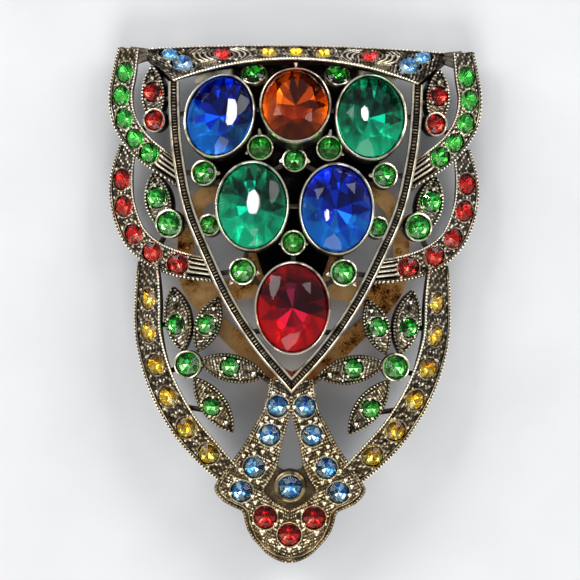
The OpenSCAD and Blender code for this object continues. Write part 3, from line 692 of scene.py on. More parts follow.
# The rings into which the leaves run. Columns: place across, place along, radius
RINGS = [(16.15, 20.9, 1.35), (14.3, 9.0, 1.6), (11.95, -7.15, 1.55)]
RING_SINK = 0.95


def sink_under_rings(part):
    """Lowers the metal inside each ring, so that it stays clear of the stone there."""
    v = part["v"]
    for x, y, radius in RINGS:
        inside = 1 - smooth_step(radius - 0.2, radius, np.hypot(v[:, 0] - x, v[:, 1] - y))
        v[:, 2] -= RING_SINK * inside
    return part


def spokes(angles, axes):
    """Directions at the angles in the plane of the first two axes."""
    return np.cos(angles)[:, None] * axes[0] + np.sin(angles)[:, None] * axes[1]


def leaf_part(tip, base, width, stone, radius):
    """A carved band from base to tip in the tangent plane of the dome at the leaf's middle."""
    tip, base, stone = np.array(tip), np.array(base), np.array(stone)
    middle = (tip + base) / 2
    size = np.linalg.norm(tip - base)
    turn = math.atan2(*(tip - base)[::-1]) - math.pi / 2
    axes = (dome_axes(*middle) @ turn_about(Z, turn)).T
    home = on_dome(*middle)
    v = np.linspace(-LEAF_END, LEAF_END, int(size / STEP)) * size
    r = (size**2 + width**2) / (4 * width)
    half = np.sqrt(r**2 - v**2) - r + width / 2
    full = np.maximum(half, NARROW)
    centre = home + v[:, None] * axes[1]
    across, out = (np.broadcast_to(axes[k], centre.shape) for k in (0, 2))
    stone_home = on_dome(*stone)
    at = stone_home - home
    pit = (at @ axes[1], at @ axes[0], radius)
    part = carved(centre, across, out, full, v, [pit], leaf_face(pit[0], size), (GRAIN_RIM, GRAIN_RIM), 21)
    local = part["v"][:-2].reshape(len(v), -1, 3) - centre[:, None]
    narrow = (half / full)[:, None]
    high = local @ axes[2]
    points = centre[:, None] + (local @ axes[0] * narrow)[..., None] * axes[0]
    points = points + np.where(high > 0, high * (0.4 + 0.6 * narrow), high)[..., None] * axes[2]
    part["v"] = np.vstack([points.reshape(-1, 3), part["v"][-2:]])
    around = (radius + 0.08) * spokes(np.radians([45, 135, 225, 315]), axes)
    at_tip = home + (size / 2 - 1.5) * axes[1] + 0.05 * axes[2]
    spots = np.vstack([stone_home + around + 0.04 * axes[2], at_tip])
    radii = np.array([0.2, 0.2, 0.2, 0.2, 0.26])
    return sink_under_rings(join([part, beads(spots, np.tile(axes[2], (5, 1)), radii)]))


for name, row in LEAVES.items():
    piece_pair(f"{name}_leaf", leaf_part(*row))
print("leaves:", 2 * len(LEAVES))

# %% [markdown]
# ## Bezels and cups
# A bezel is a strip of metal bent round a stone and pressed over its edge. It is a profile turned
# round an ellipse. A bezel is never quite even, so its rim wavers a little.

# %% Bezels and cups
def turned_ring(home, axes, rx, ry, profile, sides=48, waver=0.04, seed=0.0):
    """The profile's points, offsets from the ellipse and heights, carried round the ellipse."""
    a = np.arange(sides) * 2 * np.pi / sides
    ripple = np.sin(2 * a + seed) + 0.6 * np.sin(5 * a + 2.1 * seed) + 0.3 * np.sin(9 * a + seed)
    off, z, crest = np.asarray(profile, float).T
    x = (rx + off) * np.cos(a)[:, None]
    y = (ry + off) * np.sin(a)[:, None]
    height = z + waver * ripple[:, None] * smooth_step(-0.3, 0.2, z)
    points = home + x[..., None] * axes[0] + y[..., None] * axes[1] + height[..., None] * axes[2]
    worn = crest * (1 - 0.5 * smooth_step(0.1, 1.3, ripple + 0.5 * np.sin(14 * a + 3 * seed))[:, None])
    return tube(points, worn, closed_path=True)


def cup_profile(depth, lip=0.3, wall=0.38, inner=0.06, floor=-0.7):
    """Outer wall, rounded lip and inner wall of a cup, as offsets from the stone's edge."""
    return [
        [wall - 0.02, -depth, 0.05], [wall, -depth + 0.06, 0.1], [wall, -0.35, 0.15], [wall, lip - 0.14, 0.7],
        [wall - 0.04, lip - 0.03, 1], [wall - 0.12, lip, 1], [wall - 0.2, lip - 0.05, 0.95],
        [inner + 0.03, 0.08, 0.15], [inner - 0.02, -0.1, 0.0], [inner - 0.02, floor, 0.0],
        [-0.1, floor - 0.1, 0.0], [-0.1, -depth, 0.05],
    ]


def oval_profile(depth, lip=0.3, wall=0.4):
    """A taller wall with a thin bright edge, and inside it a slope down to the stone with painted shade."""
    return [
        [wall - 0.02, -depth, 0.05], [wall, -depth + 0.06, 0.1], [wall, -0.4, 0.2], [wall, lip - 0.16, 0.8],
        [wall - 0.04, lip - 0.03, 1], [wall - 0.14, lip, 1], [wall - 0.24, lip - 0.05, 1], [0.08, 0.05, 0.2],
        [0.05, -0.15, 0.0], [0.05, -1.2, 0.0], [-0.1, -1.3, 0.0], [-0.1, -depth, 0.05],
    ]


def tilted_axes(back, out, turn=0):
    """Axes turned about Z, then back about X, then outwards about Y, in degrees."""
    a, b, c = (math.radians(angle) for angle in (-back, out, turn))
    return (turn_about(Y, b) @ turn_about(X, a) @ turn_about(Z, c)).T


OVAL_RX, OVAL_RY = 4.0, 5.0
# Columns: centre of the girdle, backward tilt, outward tilt, turn, share of full size
OVALS = {
    "oval_blue_left": [(-8.7, 21.5, 7.3), 12, -8, -11, 0.93],
    "oval_amber": [(0, 22.9, 6.9), 29, 0, 0, 0.94],
    "oval_green_right": [(8.7, 21.6, 7.3), 12, 8, -5, 0.95],
    "oval_green_left": [(-4.8, 11.15, 8.3), 6, -4, 0, 0.97],
    "oval_blue_right": [(4.9, 10.95, 8.3), 6, 4, 0, 0.99],
    "oval_ruby": [(0, -0.5, 8.3), 0, 0, 0, 1.0],
}
# Columns: centre of the girdle, backward tilt, outward tilt, diameter of the stone
SIDE_CUPS = {
    "cluster_green_top": [(4.8, 26.4, 5.6), 34, 8, 2.35],
    "cluster_green_upper": [(3.97, 17.9, 7.4), 12, 0, 2.35],
    "cluster_green_side": [(10.4, 14.9, 7.1), 6, 10, 2.3],
    "cluster_green_rail": [(9.7, 8.9, 7.5), 4, 8, 1.85],
    "cluster_green_lower": [(5.8, 3.65, 7.9), 0, 4, 2.4],
}
MIDDLE_CUPS = {
    "cluster_green_middle": [(0, 16.5, 7.5), 10, 0, 2.15],
    "cluster_green_low": [(0, 7.0, 8.0), 3, 0, 2.2],
}
# Columns: place in plan, diameter of the stone
FRAME_CUPS = {
    "upper_bezel_red": [(16.15, 20.9), 2.1],
    "lower_bezel_green": [(14.3, 9.0), 2.6],
    "sprig_bezel_green": [(11.95, -7.15), 2.5],
}
CUP_DEPTH = 1.6
OVAL_DEPTH = 1.8
# A cup tilted back by more than this needs claws to hold its stone
STEEP = 30

for k, (name, (home, back, out, turn, share)) in enumerate(OVALS.items()):
    ring = turned_ring(np.array(home), tilted_axes(back, out, turn), share * OVAL_RX, share * OVAL_RY,
                       oval_profile(OVAL_DEPTH), 96, 0.06, 1.3 * k)
    piece(name.replace("oval", "oval_bezel"), ring)
print("oval bezels:", len(OVALS))


# %% Small cups and frame bezels
def claws(home, axes, r, count=4, phase=0.8):
    """Prongs bent over the edge of a stone: stretched beads that lean inwards."""
    ways = spokes(phase + np.arange(count) * 2 * np.pi / count, axes)
    spots = home + (r + 0.1) * ways + 0.12 * axes[2]
    leans = unit(axes[2] - 0.5 * ways)
    return beads(spots, leans, np.full(count, 0.24), 1.2)


def seat_on_dome(x, y, lift):
    """Centre and axes of a stone seat on the dome, lifted off it."""
    axes = dome_axes(x, y).T
    return on_dome(x, y) + lift * axes[2], axes


def small_cup(home, axes, d, depth, seed):
    """A round cup for a small stone, turned from the cup profile."""
    return turned_ring(home, axes, d / 2, d / 2, cup_profile(depth), 32, 0.03, seed)


for k, (name, (home, back, out, d)) in enumerate(SIDE_CUPS.items()):
    home, axes = np.array(home), tilted_axes(back, out)
    part = small_cup(home, axes, d, CUP_DEPTH, 1.7 * k)
    if back > STEEP:
        part = join([part, claws(home, axes, d / 2)])
    piece_pair(f"cup_{name}", part)
for k, (name, (home, back, out, d)) in enumerate(MIDDLE_CUPS.items()):
    piece(f"cup_{name}", small_cup(np.array(home), tilted_axes(back, out), d, CUP_DEPTH, 2.9 * k))
SEAT_RISE = 0.12
for k, (name, ((x, y), d)) in enumerate(FRAME_CUPS.items()):
    piece_pair(f"ring_{name}", small_cup(*seat_on_dome(x, y, SEAT_RISE), d, CAST_T, 2.3 * k))
print("cups:", 2 * len(SIDE_CUPS) + len(MIDDLE_CUPS), "frame bezels:", 2 * len(FRAME_CUPS))

# %% [markdown]
# ## The fan and the lobe
# The lower end is one cast sheet: two arms with a slit between them, a ring for the last blue stone,
# two corners and the round lobe. It is a height field on the dome, made as one half and its mirror
# image. Its relief is drawn with lines, as an engraver would: every ridge follows a line of a few
# points, and its height falls off with the distance from that line.

# %% The sheet's outline and lines
# Columns: place down the clip, inner edge, outer edge
FAN_OUTLINE = np.array([
    [-8.7, 0, 2.5], [-9.8, 0, 2.65], [-11.3, 0, 2.95], [-12.5, 0, 3.35], [-13.4, 0.22, 3.85],
    [-14.2, 0.46, 4.3], [-15.8, 0.9, 5.1], [-17.2, 1.22, 6.0], [-18.5, 1.42, 6.95], [-18.9, 1.3, 7.25],
    [-19.15, 0.7, 7.4], [-19.3, 0, 7.55], [-20.6, 0, 8.4], [-21.15, 0, 8.72], [-21.7, 0, 8.68],
    [-22.3, 0, 8.3], [-23.0, 0, 7.6], [-23.6, 0, 6.4], [-23.95, 0, 5.6], [-24.4, 0, 5.32],
    [-25.1, 0, 5.2], [-26.2, 0, 4.85], [-27.2, 0, 4.25], [-28.2, 0, 3.35], [-28.8, 0, 2.8],
    [-29.3, 0, 2.15], [-29.65, 0, 1.5], [-29.86, 0, 0.95], [-29.97, 0, 0.45],
])
LOBE_STONES = {"lobe_red_left": (-2.8, -24.7), "lobe_red_tip": (0, -26.7), "lobe_red_right": (2.8, -24.7)}
LOBE_STONE_R = 1.25
FAN_ARM_STONES = range(1, 5)
FAN_CUP_Y, FAN_CUP_D = -21.05, 2.6
OUTER_LINE = FAN_OUTLINE[:, [2, 0]]
# The other lines and the beads are places across and along the clip
INNER_LINE = np.array([
    (0.12, -12.3), (0.3, -13.3), (0.62, -14.2), (1.05, -15.8), (1.4, -17.4), (1.62, -18.7), (2.3, -20.1),
    (3.15, -21.4), (3.0, -22.0), (1.9, -23.0), (0, -24.0),
])
BEVEL_LINE = np.array([
    (8.2, -21.2), (7.9, -22.0), (7.1, -22.7), (5.3, -23.55), (4.75, -24.1), (4.55, -25.3), (3.9, -26.9),
    (2.7, -28.4), (1.5, -29.1), (0, -29.4),
])
ARM_BEAD_R = 0.29
ARM_BEADS = [
    (0.75, -10.5), (2.1, -10.3), (0.35, -11.9), (2.85, -13.2), (1.0, -13.45), (2.2, -13.6), (3.4, -13.9),
    (1.3, -14.2), (3.75, -15.2), (4.3, -16.4), (2.2, -16.9), (3.2, -17.1), (4.2, -17.3), (1.9, -17.9),
    (5.4, -17.6), (2.75, -19.0), (5.8, -19.2), (6.4, -20.3), (4.6, -20.35), (3.7, -20.6), (7.1, -21.0),
    (4.3, -22.3), (4.0, -23.0), (6.9, -22.0), (4.9, -23.3), (1.45, -23.9), (0.95, -25.1), (1.6, -25.5),
]
# Columns: place across, place along, radius
LOBE_CURLS = [
    (3.15, -26.45, 0.42), (0.0, -28.45, 0.4), (1.15, -28.2, 0.3), (4.2, -25.4, 0.2), (2.2, -27.4, 0.26),
]


def near_line(x, y, line):
    """Distance from each place to a line of points, and the length along the line to the nearest point."""
    a, b = line[:-1], line[1:]
    span = b - a
    size = np.linalg.norm(span, axis=1)
    start = np.r_[0, np.cumsum(size)[:-1]]
    t = ((x[..., None] - a[:, 0]) * span[:, 0] + (y[..., None] - a[:, 1]) * span[:, 1]) / size**2
    t = np.clip(t, 0, 1)
    d = np.hypot(x[..., None] - a[:, 0] - t * span[:, 0], y[..., None] - a[:, 1] - t * span[:, 1])
    best = d.argmin(axis=-1)[..., None]
    run = np.take_along_axis(start + t * size, best, axis=-1)[..., 0]
    return np.take_along_axis(d, best, axis=-1)[..., 0], run


def ridge(d, run, at, width, grained):
    """A rounded ridge at a distance from a line: 1 on its top, lowered between its grains."""
    body = np.exp(-((d - at) / width) ** 2)
    return body * (1 - grained * (1 - grain(run)))


print("outline rows:", len(FAN_OUTLINE), "beads on the arms:", 2 * len(ARM_BEADS))


# %% The fan sheet
def fan_relief(x, y):
    """Rise and crest of the sheet: dots, a plain ground round the ring, a sunk strip along the bevel, and
    over them the ridges, of which the highest counts."""
    outer, outer_run = near_line(x, y, OUTER_LINE)
    inner, inner_run = near_line(x, y, INNER_LINE)
    bevel, bevel_run = near_line(x, y, BEVEL_LINE)
    low = smooth_step(-20.9, -21.4, y)
    v_edge = np.interp(y, [-24, -23, -22, -21.4, -20.1, -18.7], [0, 1.9, 3.0, 3.15, 2.3, 1.62])
    ground = smooth_step(0.1, -0.1, x - v_edge) * smooth_step(-18.5, -18.7, y) * smooth_step(-24.1, -24, y)
    strip = low * smooth_step(0.95, 0.75, outer + bevel)
    rise, crest = dotted(x, -y, None)
    rise = (1.3 * rise - 0.02) * (1 - ground) * (1 - strip) - 0.15 * strip
    crest = (crest + 0.1) * (1 - ground) * (1 - strip) + 0.24 * ground + 0.36 * strip
    ridges = [
        (ridge(outer, outer_run, 0.16, 0.14, 0.7), 0.34, 1.0),
        (ridge(outer, outer_run, 0.44, 0.08, 0.2) * (1 - low), 0.24, 0.9),
        (ridge(inner, inner_run, 0, 0.17, 0.65), 0.36, 1.0),
        (ridge(bevel, bevel_run, 0, 0.11, 0.25) * low, 0.32, 1.0),
    ]
    for line, height, shine in ridges:
        rise = np.maximum(rise, height * line)
        crest = np.maximum(crest, (shine - 0.15 * low) * line)
    return rise, crest


def fan_part():
    """Rings across the half sheet, from its inner to its outer edge: top side, wall and under side."""
    y = np.linspace(FAN_OUTLINE[0, 0], FAN_OUTLINE[-1, 0], 300)
    inner, outer = (np.interp(y, FAN_OUTLINE[::-1, 0], FAN_OUTLINE[::-1, k]) for k in (1, 2))
    share = np.linspace(0, 1, 92)
    x = inner[:, None] + share * (outer - inner)[:, None]
    y = np.broadcast_to(y[:, None], x.shape)
    rise, crest = fan_relief(x, y)
    stones = [(sx, sy, LOBE_STONE_R) for sx, sy in LOBE_STONES.values() if sx >= 0]
    stones += [(0, FAN_CUP_Y, FAN_CUP_D / 2 + 0.2)]
    stones += [(*curve_at(FAN_ARM, np.array(i))[:2], BAND_STONE_R) for i in FAN_ARM_STONES]
    pit, collar = pits(x, y, [(sy, sx, radius) for sx, sy, radius in stones])
    rise = rise * (1 - pit) - PIT_DEPTH * pit + COLLAR_RISE * collar
    crest = np.maximum(crest * (1 - pit), 0.7 * collar)
    top = np.stack([x, y, dome_z(x, y) + rise], axis=-1)
    wall = np.stack([outer, y[:, 0], dome_z(outer, y[:, 0]) - 0.15], axis=-1)[:, None]
    under = top[:, ::-13].copy()
    under[..., 2] = dome_z(under[..., 0], under[..., 1]) - CAST_T
    points = np.concatenate([top, wall, under], axis=1)
    dark = np.full(points.shape[:2], 0.08)
    dark[:, :crest.shape[1]] = crest
    return tube(points, dark)


fan_half = fan_part()
spots = np.array([(x, y, ARM_BEAD_R) for x, y in ARM_BEADS] + LOBE_CURLS)
homes = np.column_stack([spots[:, 0], spots[:, 1], dome_z(spots[:, 0], spots[:, 1]) + 0.05])
fan_beads = beads(homes, np.tile([0, 0, 1.0], (len(spots), 1)), spots[:, 2])
fan_seat = seat_on_dome(0, FAN_CUP_Y, SEAT_RISE)
# Columns: offset from the stone's edge, height, crest
FAN_RING = [
    [0.61, -1.2, 0.05], [0.63, -1.1, 0.1], [0.62, 0.0, 0.3], [0.56, 0.22, 0.5], [0.44, 0.33, 0.5],
    [0.25, 0.36, 0.42], [0.12, 0.33, 0.55], [0.05, 0.2, 0.3], [0.03, -0.1, 0.0], [0.03, -0.7, 0.0],
    [-0.1, -0.8, 0.0], [-0.1, -1.2, 0.05],
]
fan_ring = turned_ring(*fan_seat, FAN_CUP_D / 2, FAN_CUP_D / 2, FAN_RING, 48, 0.01, 0.4)
piece_pair("fan_sheet", join([fan_half, fan_beads]))
piece("fan_ring", fan_ring)
print("fan sheet:", len(fan_half["q"]) * 2, "triangles a side")

# %% [markdown]
# ## Links
# Small bars of metal, dark and low, join the settings of the centre panel to each other and to the
# rail. Each bar is painted lighter along its upper side, a painted highlight, and a pointed tab beside
# some settings carries a stronger one, where it catches the light.

# %% Links
# The two ends of each bar: place across, place along, height
SIDE_LINKS = [
    [(12.9, 14.9, 6.7), (11.4, 14.9, 6.7)], [(9.5, 14.2, 6.6), (8.2, 13.4, 6.9)],
    [(8.8, 3.3, 6.9), (6.9, 3.6, 7.1)], [(4.8, 2.9, 7.2), (3.8, 2.2, 7.2)],
    [(5.6, 4.8, 7.2), (5.3, 6.3, 7.2)], [(13.7, 21.7, 6.3), (12.4, 21.7, 6.3)],
    [(3.9, 22.3, 6.4), (4.9, 22.3, 6.4)], [(4.95, 27.2, 4.5), (4.95, 28.6, 4.9)],
    [(3.8, 25.9, 4.9), (3.2, 25.5, 4.9)], [(1.2, 16.0, 6.9), (2.6, 15.2, 7.1)],
    [(1.2, 7.6, 7.1), (2.5, 8.4, 7.1)], [(3.9, 16.8, 6.9), (4.1, 15.9, 7.1)],
    [(14.2, 23.4, 6.5), (15.4, 23.4, 6.0)], [(17.0, 20.2, 5.0), (18.6, 19.6, 4.4)],
    [(11.9, 9.0, 6.6), (13.2, 9.0, 6.5)], [(14.6, 8.0, 6.2), (15.4, 6.6, 5.9)],
    [(14.6, -2.6, 5.9), (15.6, -2.7, 5.6)], [(8.9, 0.1, 6.9), (7.8, 0.5, 6.9)],
    [(9.9, -12.4, 6.8), (12.6, -12.0, 6.2)], [(12.9, -7.6, 6.8), (14.4, -8.0, 6.0)],
    [(2.0, -9.3, 6.9), (3.8, -8.2, 6.9)], [(5.2, -3.3, 6.9), (3.4, -3.2, 7.1)],
]
# The bars that close the corner between the top band and the upper wing
CORNER_BARS = [
    [(17.2, 28.95, 3.95), (19.2, 29.15, 4.1)], [(17.0, 28.55, 4.1), (18.9, 28.35, 4.3)],
    [(17.3, 28.2, 4.2), (18.9, 27.6, 4.45)],
]
MIDDLE_LINKS = [
    [(0, 17.4, 7.2), (0, 18.6, 8.2)], [(0, 5.9, 7.2), (0, 4.6, 7.2)],
    [(-1.1, 11.2, 7.1), (1.1, 11.2, 7.1)],
]
LINK_HALF = 0.3
# Small three-cornered tabs beside the settings. Columns: wide end, pointed end
TABS = [
    [(4.0, 19.4, 7.3), (4.12, 20.1, 7.6)], [(8.9, 14.9, 7.2), (8.5, 14.9, 7.4)],
    [(4.1, 3.4, 7.4), (3.8, 3.3, 7.5)], [(2.6, 18.7, 7.0), (2.2, 18.95, 7.1)],
    [(1.35, 16.5, 7.2), (1.75, 16.3, 7.3)], [(7.1, 2.4, 7.3), (7.4, 2.1, 7.4)],
    [(5.3, 17.4, 6.9), (5.7, 17.2, 7.0)], [(1.35, 7.0, 7.5), (1.7, 6.85, 7.6)],
]
MIDDLE_TABS = [
    [(0, 27.85, 6.6), (0, 27.3, 6.4)], [(0, 17.8, 7.2), (0, 18.2, 7.4)],
]


def link(a, b, start=LINK_HALF, end=LINK_HALF, shine=0.15):
    """A bar with rounded corners between two points: a rounded square whose size runs from start to end."""
    a, b = np.array(a, float), np.array(b, float)
    t = np.linspace(0, 2 * np.pi, 13)[:-1]
    along = unit(b - a)
    side = unit(np.cross([0, 0, 1.0], along))
    up = np.cross(along, side)
    square = lambda f: np.sign(f) * np.abs(f)**0.5
    ring = square(np.cos(t))[:, None] * side + square(np.sin(t))[:, None] * up
    share = np.linspace(0, 1, 5)[:, None]
    size = start + share * (end - start)
    path = a + share * (b - a)
    # Painted highlight: the upper half of the bar is lighter, by the shine at its top
    crest = np.tile(0.08 + shine * np.clip(np.sin(t), 0, 1), (5, 1))
    return tube(path[:, None] + size[..., None] * ring, crest)


def foot(home):
    """A post under a middle cup, down to the hinge plate: circles of the radii r at the heights z."""
    t = np.linspace(0, 2 * np.pi, 17)[:-1]
    z = np.array([3.52, 3.6, 5.5, home[2] - CUP_DEPTH + 0.4])
    r = np.array([0.92, 0.98, 0.98, 0.98])
    x, y = home[0] + r[:, None] * np.cos(t), home[1] + r[:, None] * np.sin(t)
    points = np.stack([x, y, z[:, None] + 0 * t], axis=-1)
    return tube(points, np.full(points.shape[:2], 0.05))


side_links = join([link(a, b) for a, b in SIDE_LINKS]
                  + [link(a, b, 0.36, 0.36, 0.4) for a, b in CORNER_BARS]
                  + [link(a, b, 0.34, 0.14, 0.6) for a, b in TABS])
middle = join([link(a, b) for a, b in MIDDLE_LINKS]
              + [link(a, b, 0.36, 0.16, 0.6) for a, b in MIDDLE_TABS]
              + [foot(row[0]) for row in MIDDLE_CUPS.values()])
piece("links", join([side_links, mirrored(side_links), middle]))
print("links:", 2 * len(SIDE_LINKS) + len(MIDDLE_LINKS), "tabs:", 2 * len(TABS) + len(MIDDLE_TABS))

# %% [markdown]
# ## Cut stones
# The large stones are cut in the brilliant way: a table, star facets round it, kites, and small
# facets along the girdle, and below it a pavilion of long kites that meet in a point. A kite of the
# crown is kept flat by taking its height from the line between the table and the girdle. A kite of
# the pavilion is folded in two, so that its halves catch the light apart. The small stones have
# fewer facets, which still look right at their size.

# %% Cut stones
GIRDLE = 0.05
# Distances from the middle, as shares of the radius, of the corners between the kites
JUNCTION, PAVILION_JUNCTION = 0.8, 0.46
# 1 would keep each kite of the pavilion flat
PAVILION_FOLD = 1.05


def stone_ring(radius, angles, z):
    """Points at the angles of a circle, at one height or one each."""
    x, y = radius * np.cos(angles), radius * np.sin(angles)
    return np.column_stack([x, y, np.broadcast_to(z, len(angles))])


def girdle_faces(above, below, edges):
    """The wall between two rings, given the first vertex of each."""
    return [[above + e, below + e, below + (e + 1) % edges, above + (e + 1) % edges] for e in range(edges)]


def brilliant(rx, ry, crown, pavilion, fold, table, girdle=GIRDLE):
    """Vertices and faces of a cut stone with its girdle at height zero. Faces below it are listed apart.
    It is made of rings of fold points, twice as many at the girdle. The ring between the table and the
    girdle lies on the straight line between them, and the one below the girdle a little outside it."""
    phi = np.pi / fold
    whole = np.arange(fold) * 2 * phi
    half = whole + phi
    edge = np.arange(2 * fold) * phi
    top = girdle + crown
    star = girdle + crown * (1 - JUNCTION * math.cos(phi)) / (1 - table)
    deep = -girdle - pavilion * (PAVILION_FOLD - PAVILION_JUNCTION * math.cos(phi))
    v = np.vstack([
        stone_ring(table, whole, top), stone_ring(JUNCTION, half, star), stone_ring(1, edge, girdle),
        stone_ring(1, edge, -girdle), stone_ring(PAVILION_JUNCTION, half, deep), [[0, 0, -girdle - pavilion]],
    ])
    v = v * [rx, ry, 1]
    # First vertex of each ring after the table's: junctions, girdle above and below, pavilion
    j0, g0, h0, p0 = fold, 2 * fold, 4 * fold, 6 * fold
    culet = 7 * fold
    k = range(fold)
    after = lambda i: (i + 1) % fold
    edge_at = lambda i: i % (2 * fold)
    crown_faces = [list(k)]
    crown_faces += [[i, j0 + i, after(i)] for i in k]
    crown_faces += [[after(i), j0 + i, g0 + edge_at(2 * i + 2), j0 + after(i)] for i in k]
    crown_faces += [[j0 + i, g0 + 2 * i, g0 + 2 * i + 1] for i in k]
    crown_faces += [[j0 + i, g0 + 2 * i + 1, g0 + edge_at(2 * i + 2)] for i in k]
    crown_faces += girdle_faces(g0, h0, 2 * fold)
    back_faces = [[culet, p0 + after(i), p0 + i] for i in k]
    back_faces += [[p0 + i, p0 + after(i), h0 + edge_at(2 * i + 2)] for i in k]
    back_faces += [[p0 + i, h0 + 2 * i + 1, h0 + 2 * i] for i in k]
    back_faces += [[p0 + i, h0 + edge_at(2 * i + 2), h0 + 2 * i + 1] for i in k]
    return v, crown_faces, back_faces


SMALL_FOLD, SMALL_TABLE = 8, 0.5


def simple_cut(r, crown, pavilion, girdle=GIRDLE, fold=SMALL_FOLD, table=SMALL_TABLE):
    """A small stone: a table, one ring of crown facets and one of back facets. Each facet is a plane that
    falls with the distance along its own direction, so the girdle's edge is a little scalloped."""
    phi = np.pi / fold
    whole = np.arange(fold) * 2 * phi
    edge = np.arange(2 * fold) * phi
    reach = np.where(np.arange(2 * fold) % 2 == 0, math.cos(phi), 1.0)
    above = girdle + crown * (1 - reach) / (1 - table * math.cos(phi))
    below = -girdle - pavilion * (1 - reach)
    v = np.vstack([stone_ring(table, whole, girdle + crown), stone_ring(1, edge, above),
                   stone_ring(1, edge, below), [[0, 0, -girdle - pavilion]]]) * [r, r, 1]
    g0, h0, culet = fold, 3 * fold, 5 * fold
    edge_at = lambda i: i % (2 * fold)
    k = range(fold)
    crown_faces = [list(k)]
    crown_faces += [[i, g0 + 2 * i, g0 + 2 * i + 1, g0 + edge_at(2 * i + 2), (i + 1) % fold] for i in k]
    crown_faces += girdle_faces(g0, h0, 2 * fold)
    back_faces = [[culet, h0 + edge_at(2 * i + 2), h0 + 2 * i + 1, h0 + 2 * i] for i in k]
    return v, crown_faces, back_faces


stone_pieces = []
# The shift of a facet's shade goes through these steps in an order that shows no pattern
SHADE_STEPS = 23


def stone_piece(name, settings, slot, replaced, painted_light=0.55, lean=0.35, rim=0.5):
    """One object for one or more stones: crown faces take the glass, pavilion faces the foil. Each facet
    keeps a painted shade: painted_light - lean (0.45 x + y) + 0.7 shift + rim (x^2 + y^2 - 0.4), with its
    place x, y as a share of the stone's radius. The lean and rim terms paint light and shade: darker at
    the top and in the middle, lighter towards the lower left and the edge. The shift changes from facet
    to facet, less near the middle, and stands both for an uneven foil and for painted sparkle."""
    verts, faces, kinds, painted_shades = [], [], [], []
    for home, axes, (v, crown_faces, back_faces) in settings:
        start = sum(len(p) for p in verts)
        verts.append(np.asarray(home) + v @ axes)
        turned = np.linalg.det(axes) < 0
        for kind, group in enumerate((crown_faces, back_faces)):
            for k, face in enumerate(group):
                faces.append([start + i for i in (face[::-1] if turned else face)])
                kinds.append(kind)
                place = v[face].mean(axis=0) @ axes / v[:, 0].max()
                far = place[0]**2 + place[1]**2
                step = (k * 37 + len(verts) * 11) % SHADE_STEPS
                shift = (step / (SHADE_STEPS - 1) - 0.5) * min(1, 0.1 + 2.2 * far)
                # Painted light and shade: darker at the top and in the middle, uneven from facet to facet
                shade = painted_light - lean * (0.45 * place[0] + place[1]) + 0.7 * shift + rim * (far - 0.4)
                painted_shades.append(min(1, max(0, shade)))
    mesh = bpy.data.meshes.new(name)
    mesh.from_pydata(np.vstack(verts) * MM, [], faces)
    mesh.validate()
    mesh.update()
    mesh.polygons.foreach_set("material_index", kinds)
    mesh.attributes.new("facet", "FLOAT", "FACE").data.foreach_set("value", painted_shades)
    obj = new_object(name, mesh)
    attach(obj, "shield")
    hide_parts(*replaced)
    stone_pieces.append((obj, slot))
    return obj


# Heights of a small stone's crown and pavilion as shares of its radius, and how deep it sits
CROWN_SHARE, PAVILION_SHARE = 0.42, 0.56
SINK = 0.12


def round_cut(r):
    """A small round stone of radius r."""
    return simple_cut(r, CROWN_SHARE * r - GIRDLE, PAVILION_SHARE * r - GIRDLE)


OVAL_CROWN, OVAL_PAVILION = 1.25, 1.5
OVAL_FOLD, OVAL_TABLE = 11, 0.6


def oval_cut(share, pavilion):
    """A large oval stone of a share of the full size, with more facets than a small one."""
    return brilliant(share * OVAL_RX, share * OVAL_RY, OVAL_CROWN, pavilion, OVAL_FOLD, OVAL_TABLE)


def seat_on_band(rows, i):
    """Centre and axes of a stone seat on a band, following the slope along the band too."""
    step = 0.05
    s = np.array([i, max(0, i - step), min(len(rows) - 1, i + step)], float)
    centre, across, _ = band_frames(rows, s)
    along = unit(centre[1] - centre[2])
    out = unit(np.cross(across[0], along))
    return centre[0] - SINK * out, np.stack([np.cross(along, out), along, out])


def seat_on_top(share, f, lean):
    """Centre and axes of a stone seat on the top band, turned about the band's length by the lean, and
    lifted by half of what the turn lowers its edge."""
    across, along, out = top_axes(share, f)
    turn = math.radians(lean)
    leaned = math.cos(turn) * out - math.sin(turn) * across
    across = math.cos(turn) * across + math.sin(turn) * out
    lift = 0.5 * LEAF_STONE_R * math.sin(turn) - SINK
    return top_place(np.array(share), np.array(f)) + lift * leaned, np.stack([across, along, leaned])


def flip(setting):
    """A seat's mirror image on the left side."""
    home, axes = setting[0], setting[1]
    return np.array(home) * [-1, 1, 1], axes * [-1, 1, 1]


print("facets of a stone:", sum(len(group) for group in round_cut(1.0)[1:]))

# %% Large ovals and single stones
OVAL_SLOTS = {
    "oval_blue_left": "sapphire_glass",
    "oval_amber": "amber_glass",
    "oval_green_right": "emerald_glass",
    "oval_green_left": "emerald_glass",
    "oval_blue_right": "sapphire_glass",
    "oval_ruby": "ruby_glass",
}
# The amber leans back, so a flatter back returns more light at its sides
OVAL_PAVILIONS = {"oval_amber": 1.1}
# Columns: painted light, lean and rim of the painted facet shade. The amber is painted dark at the top
# and in the middle, the ruby at the top
OVAL_PAINTED_SHADES = {"oval_amber": (0.44, 1.0, 1.6), "oval_ruby": (0.36, 0.85, 0.7)}
OTHER_OVAL_PAINTED_SHADES = (0.5, 0.6, 0.5)
for name, (home, back, out, turn, share) in OVALS.items():
    cut = oval_cut(share, OVAL_PAVILIONS.get(name, OVAL_PAVILION))
    setting = (np.array(home), tilted_axes(back, out, turn), cut)
    stone_piece(f"{name}_stone", [setting], OVAL_SLOTS[name], [name], *OVAL_PAINTED_SHADES.get(name, OTHER_OVAL_PAINTED_SHADES))


def both_sides(name, seat, d, slot):
    """The same stone on the right and, mirrored, on the left."""
    for side, (home, axes) in {"right": seat, "left": flip(seat)}.items():
        stone_piece(f"{name}_{side}_stone", [(home, axes, round_cut(d / 2))], slot, [f"{name}_{side}"])


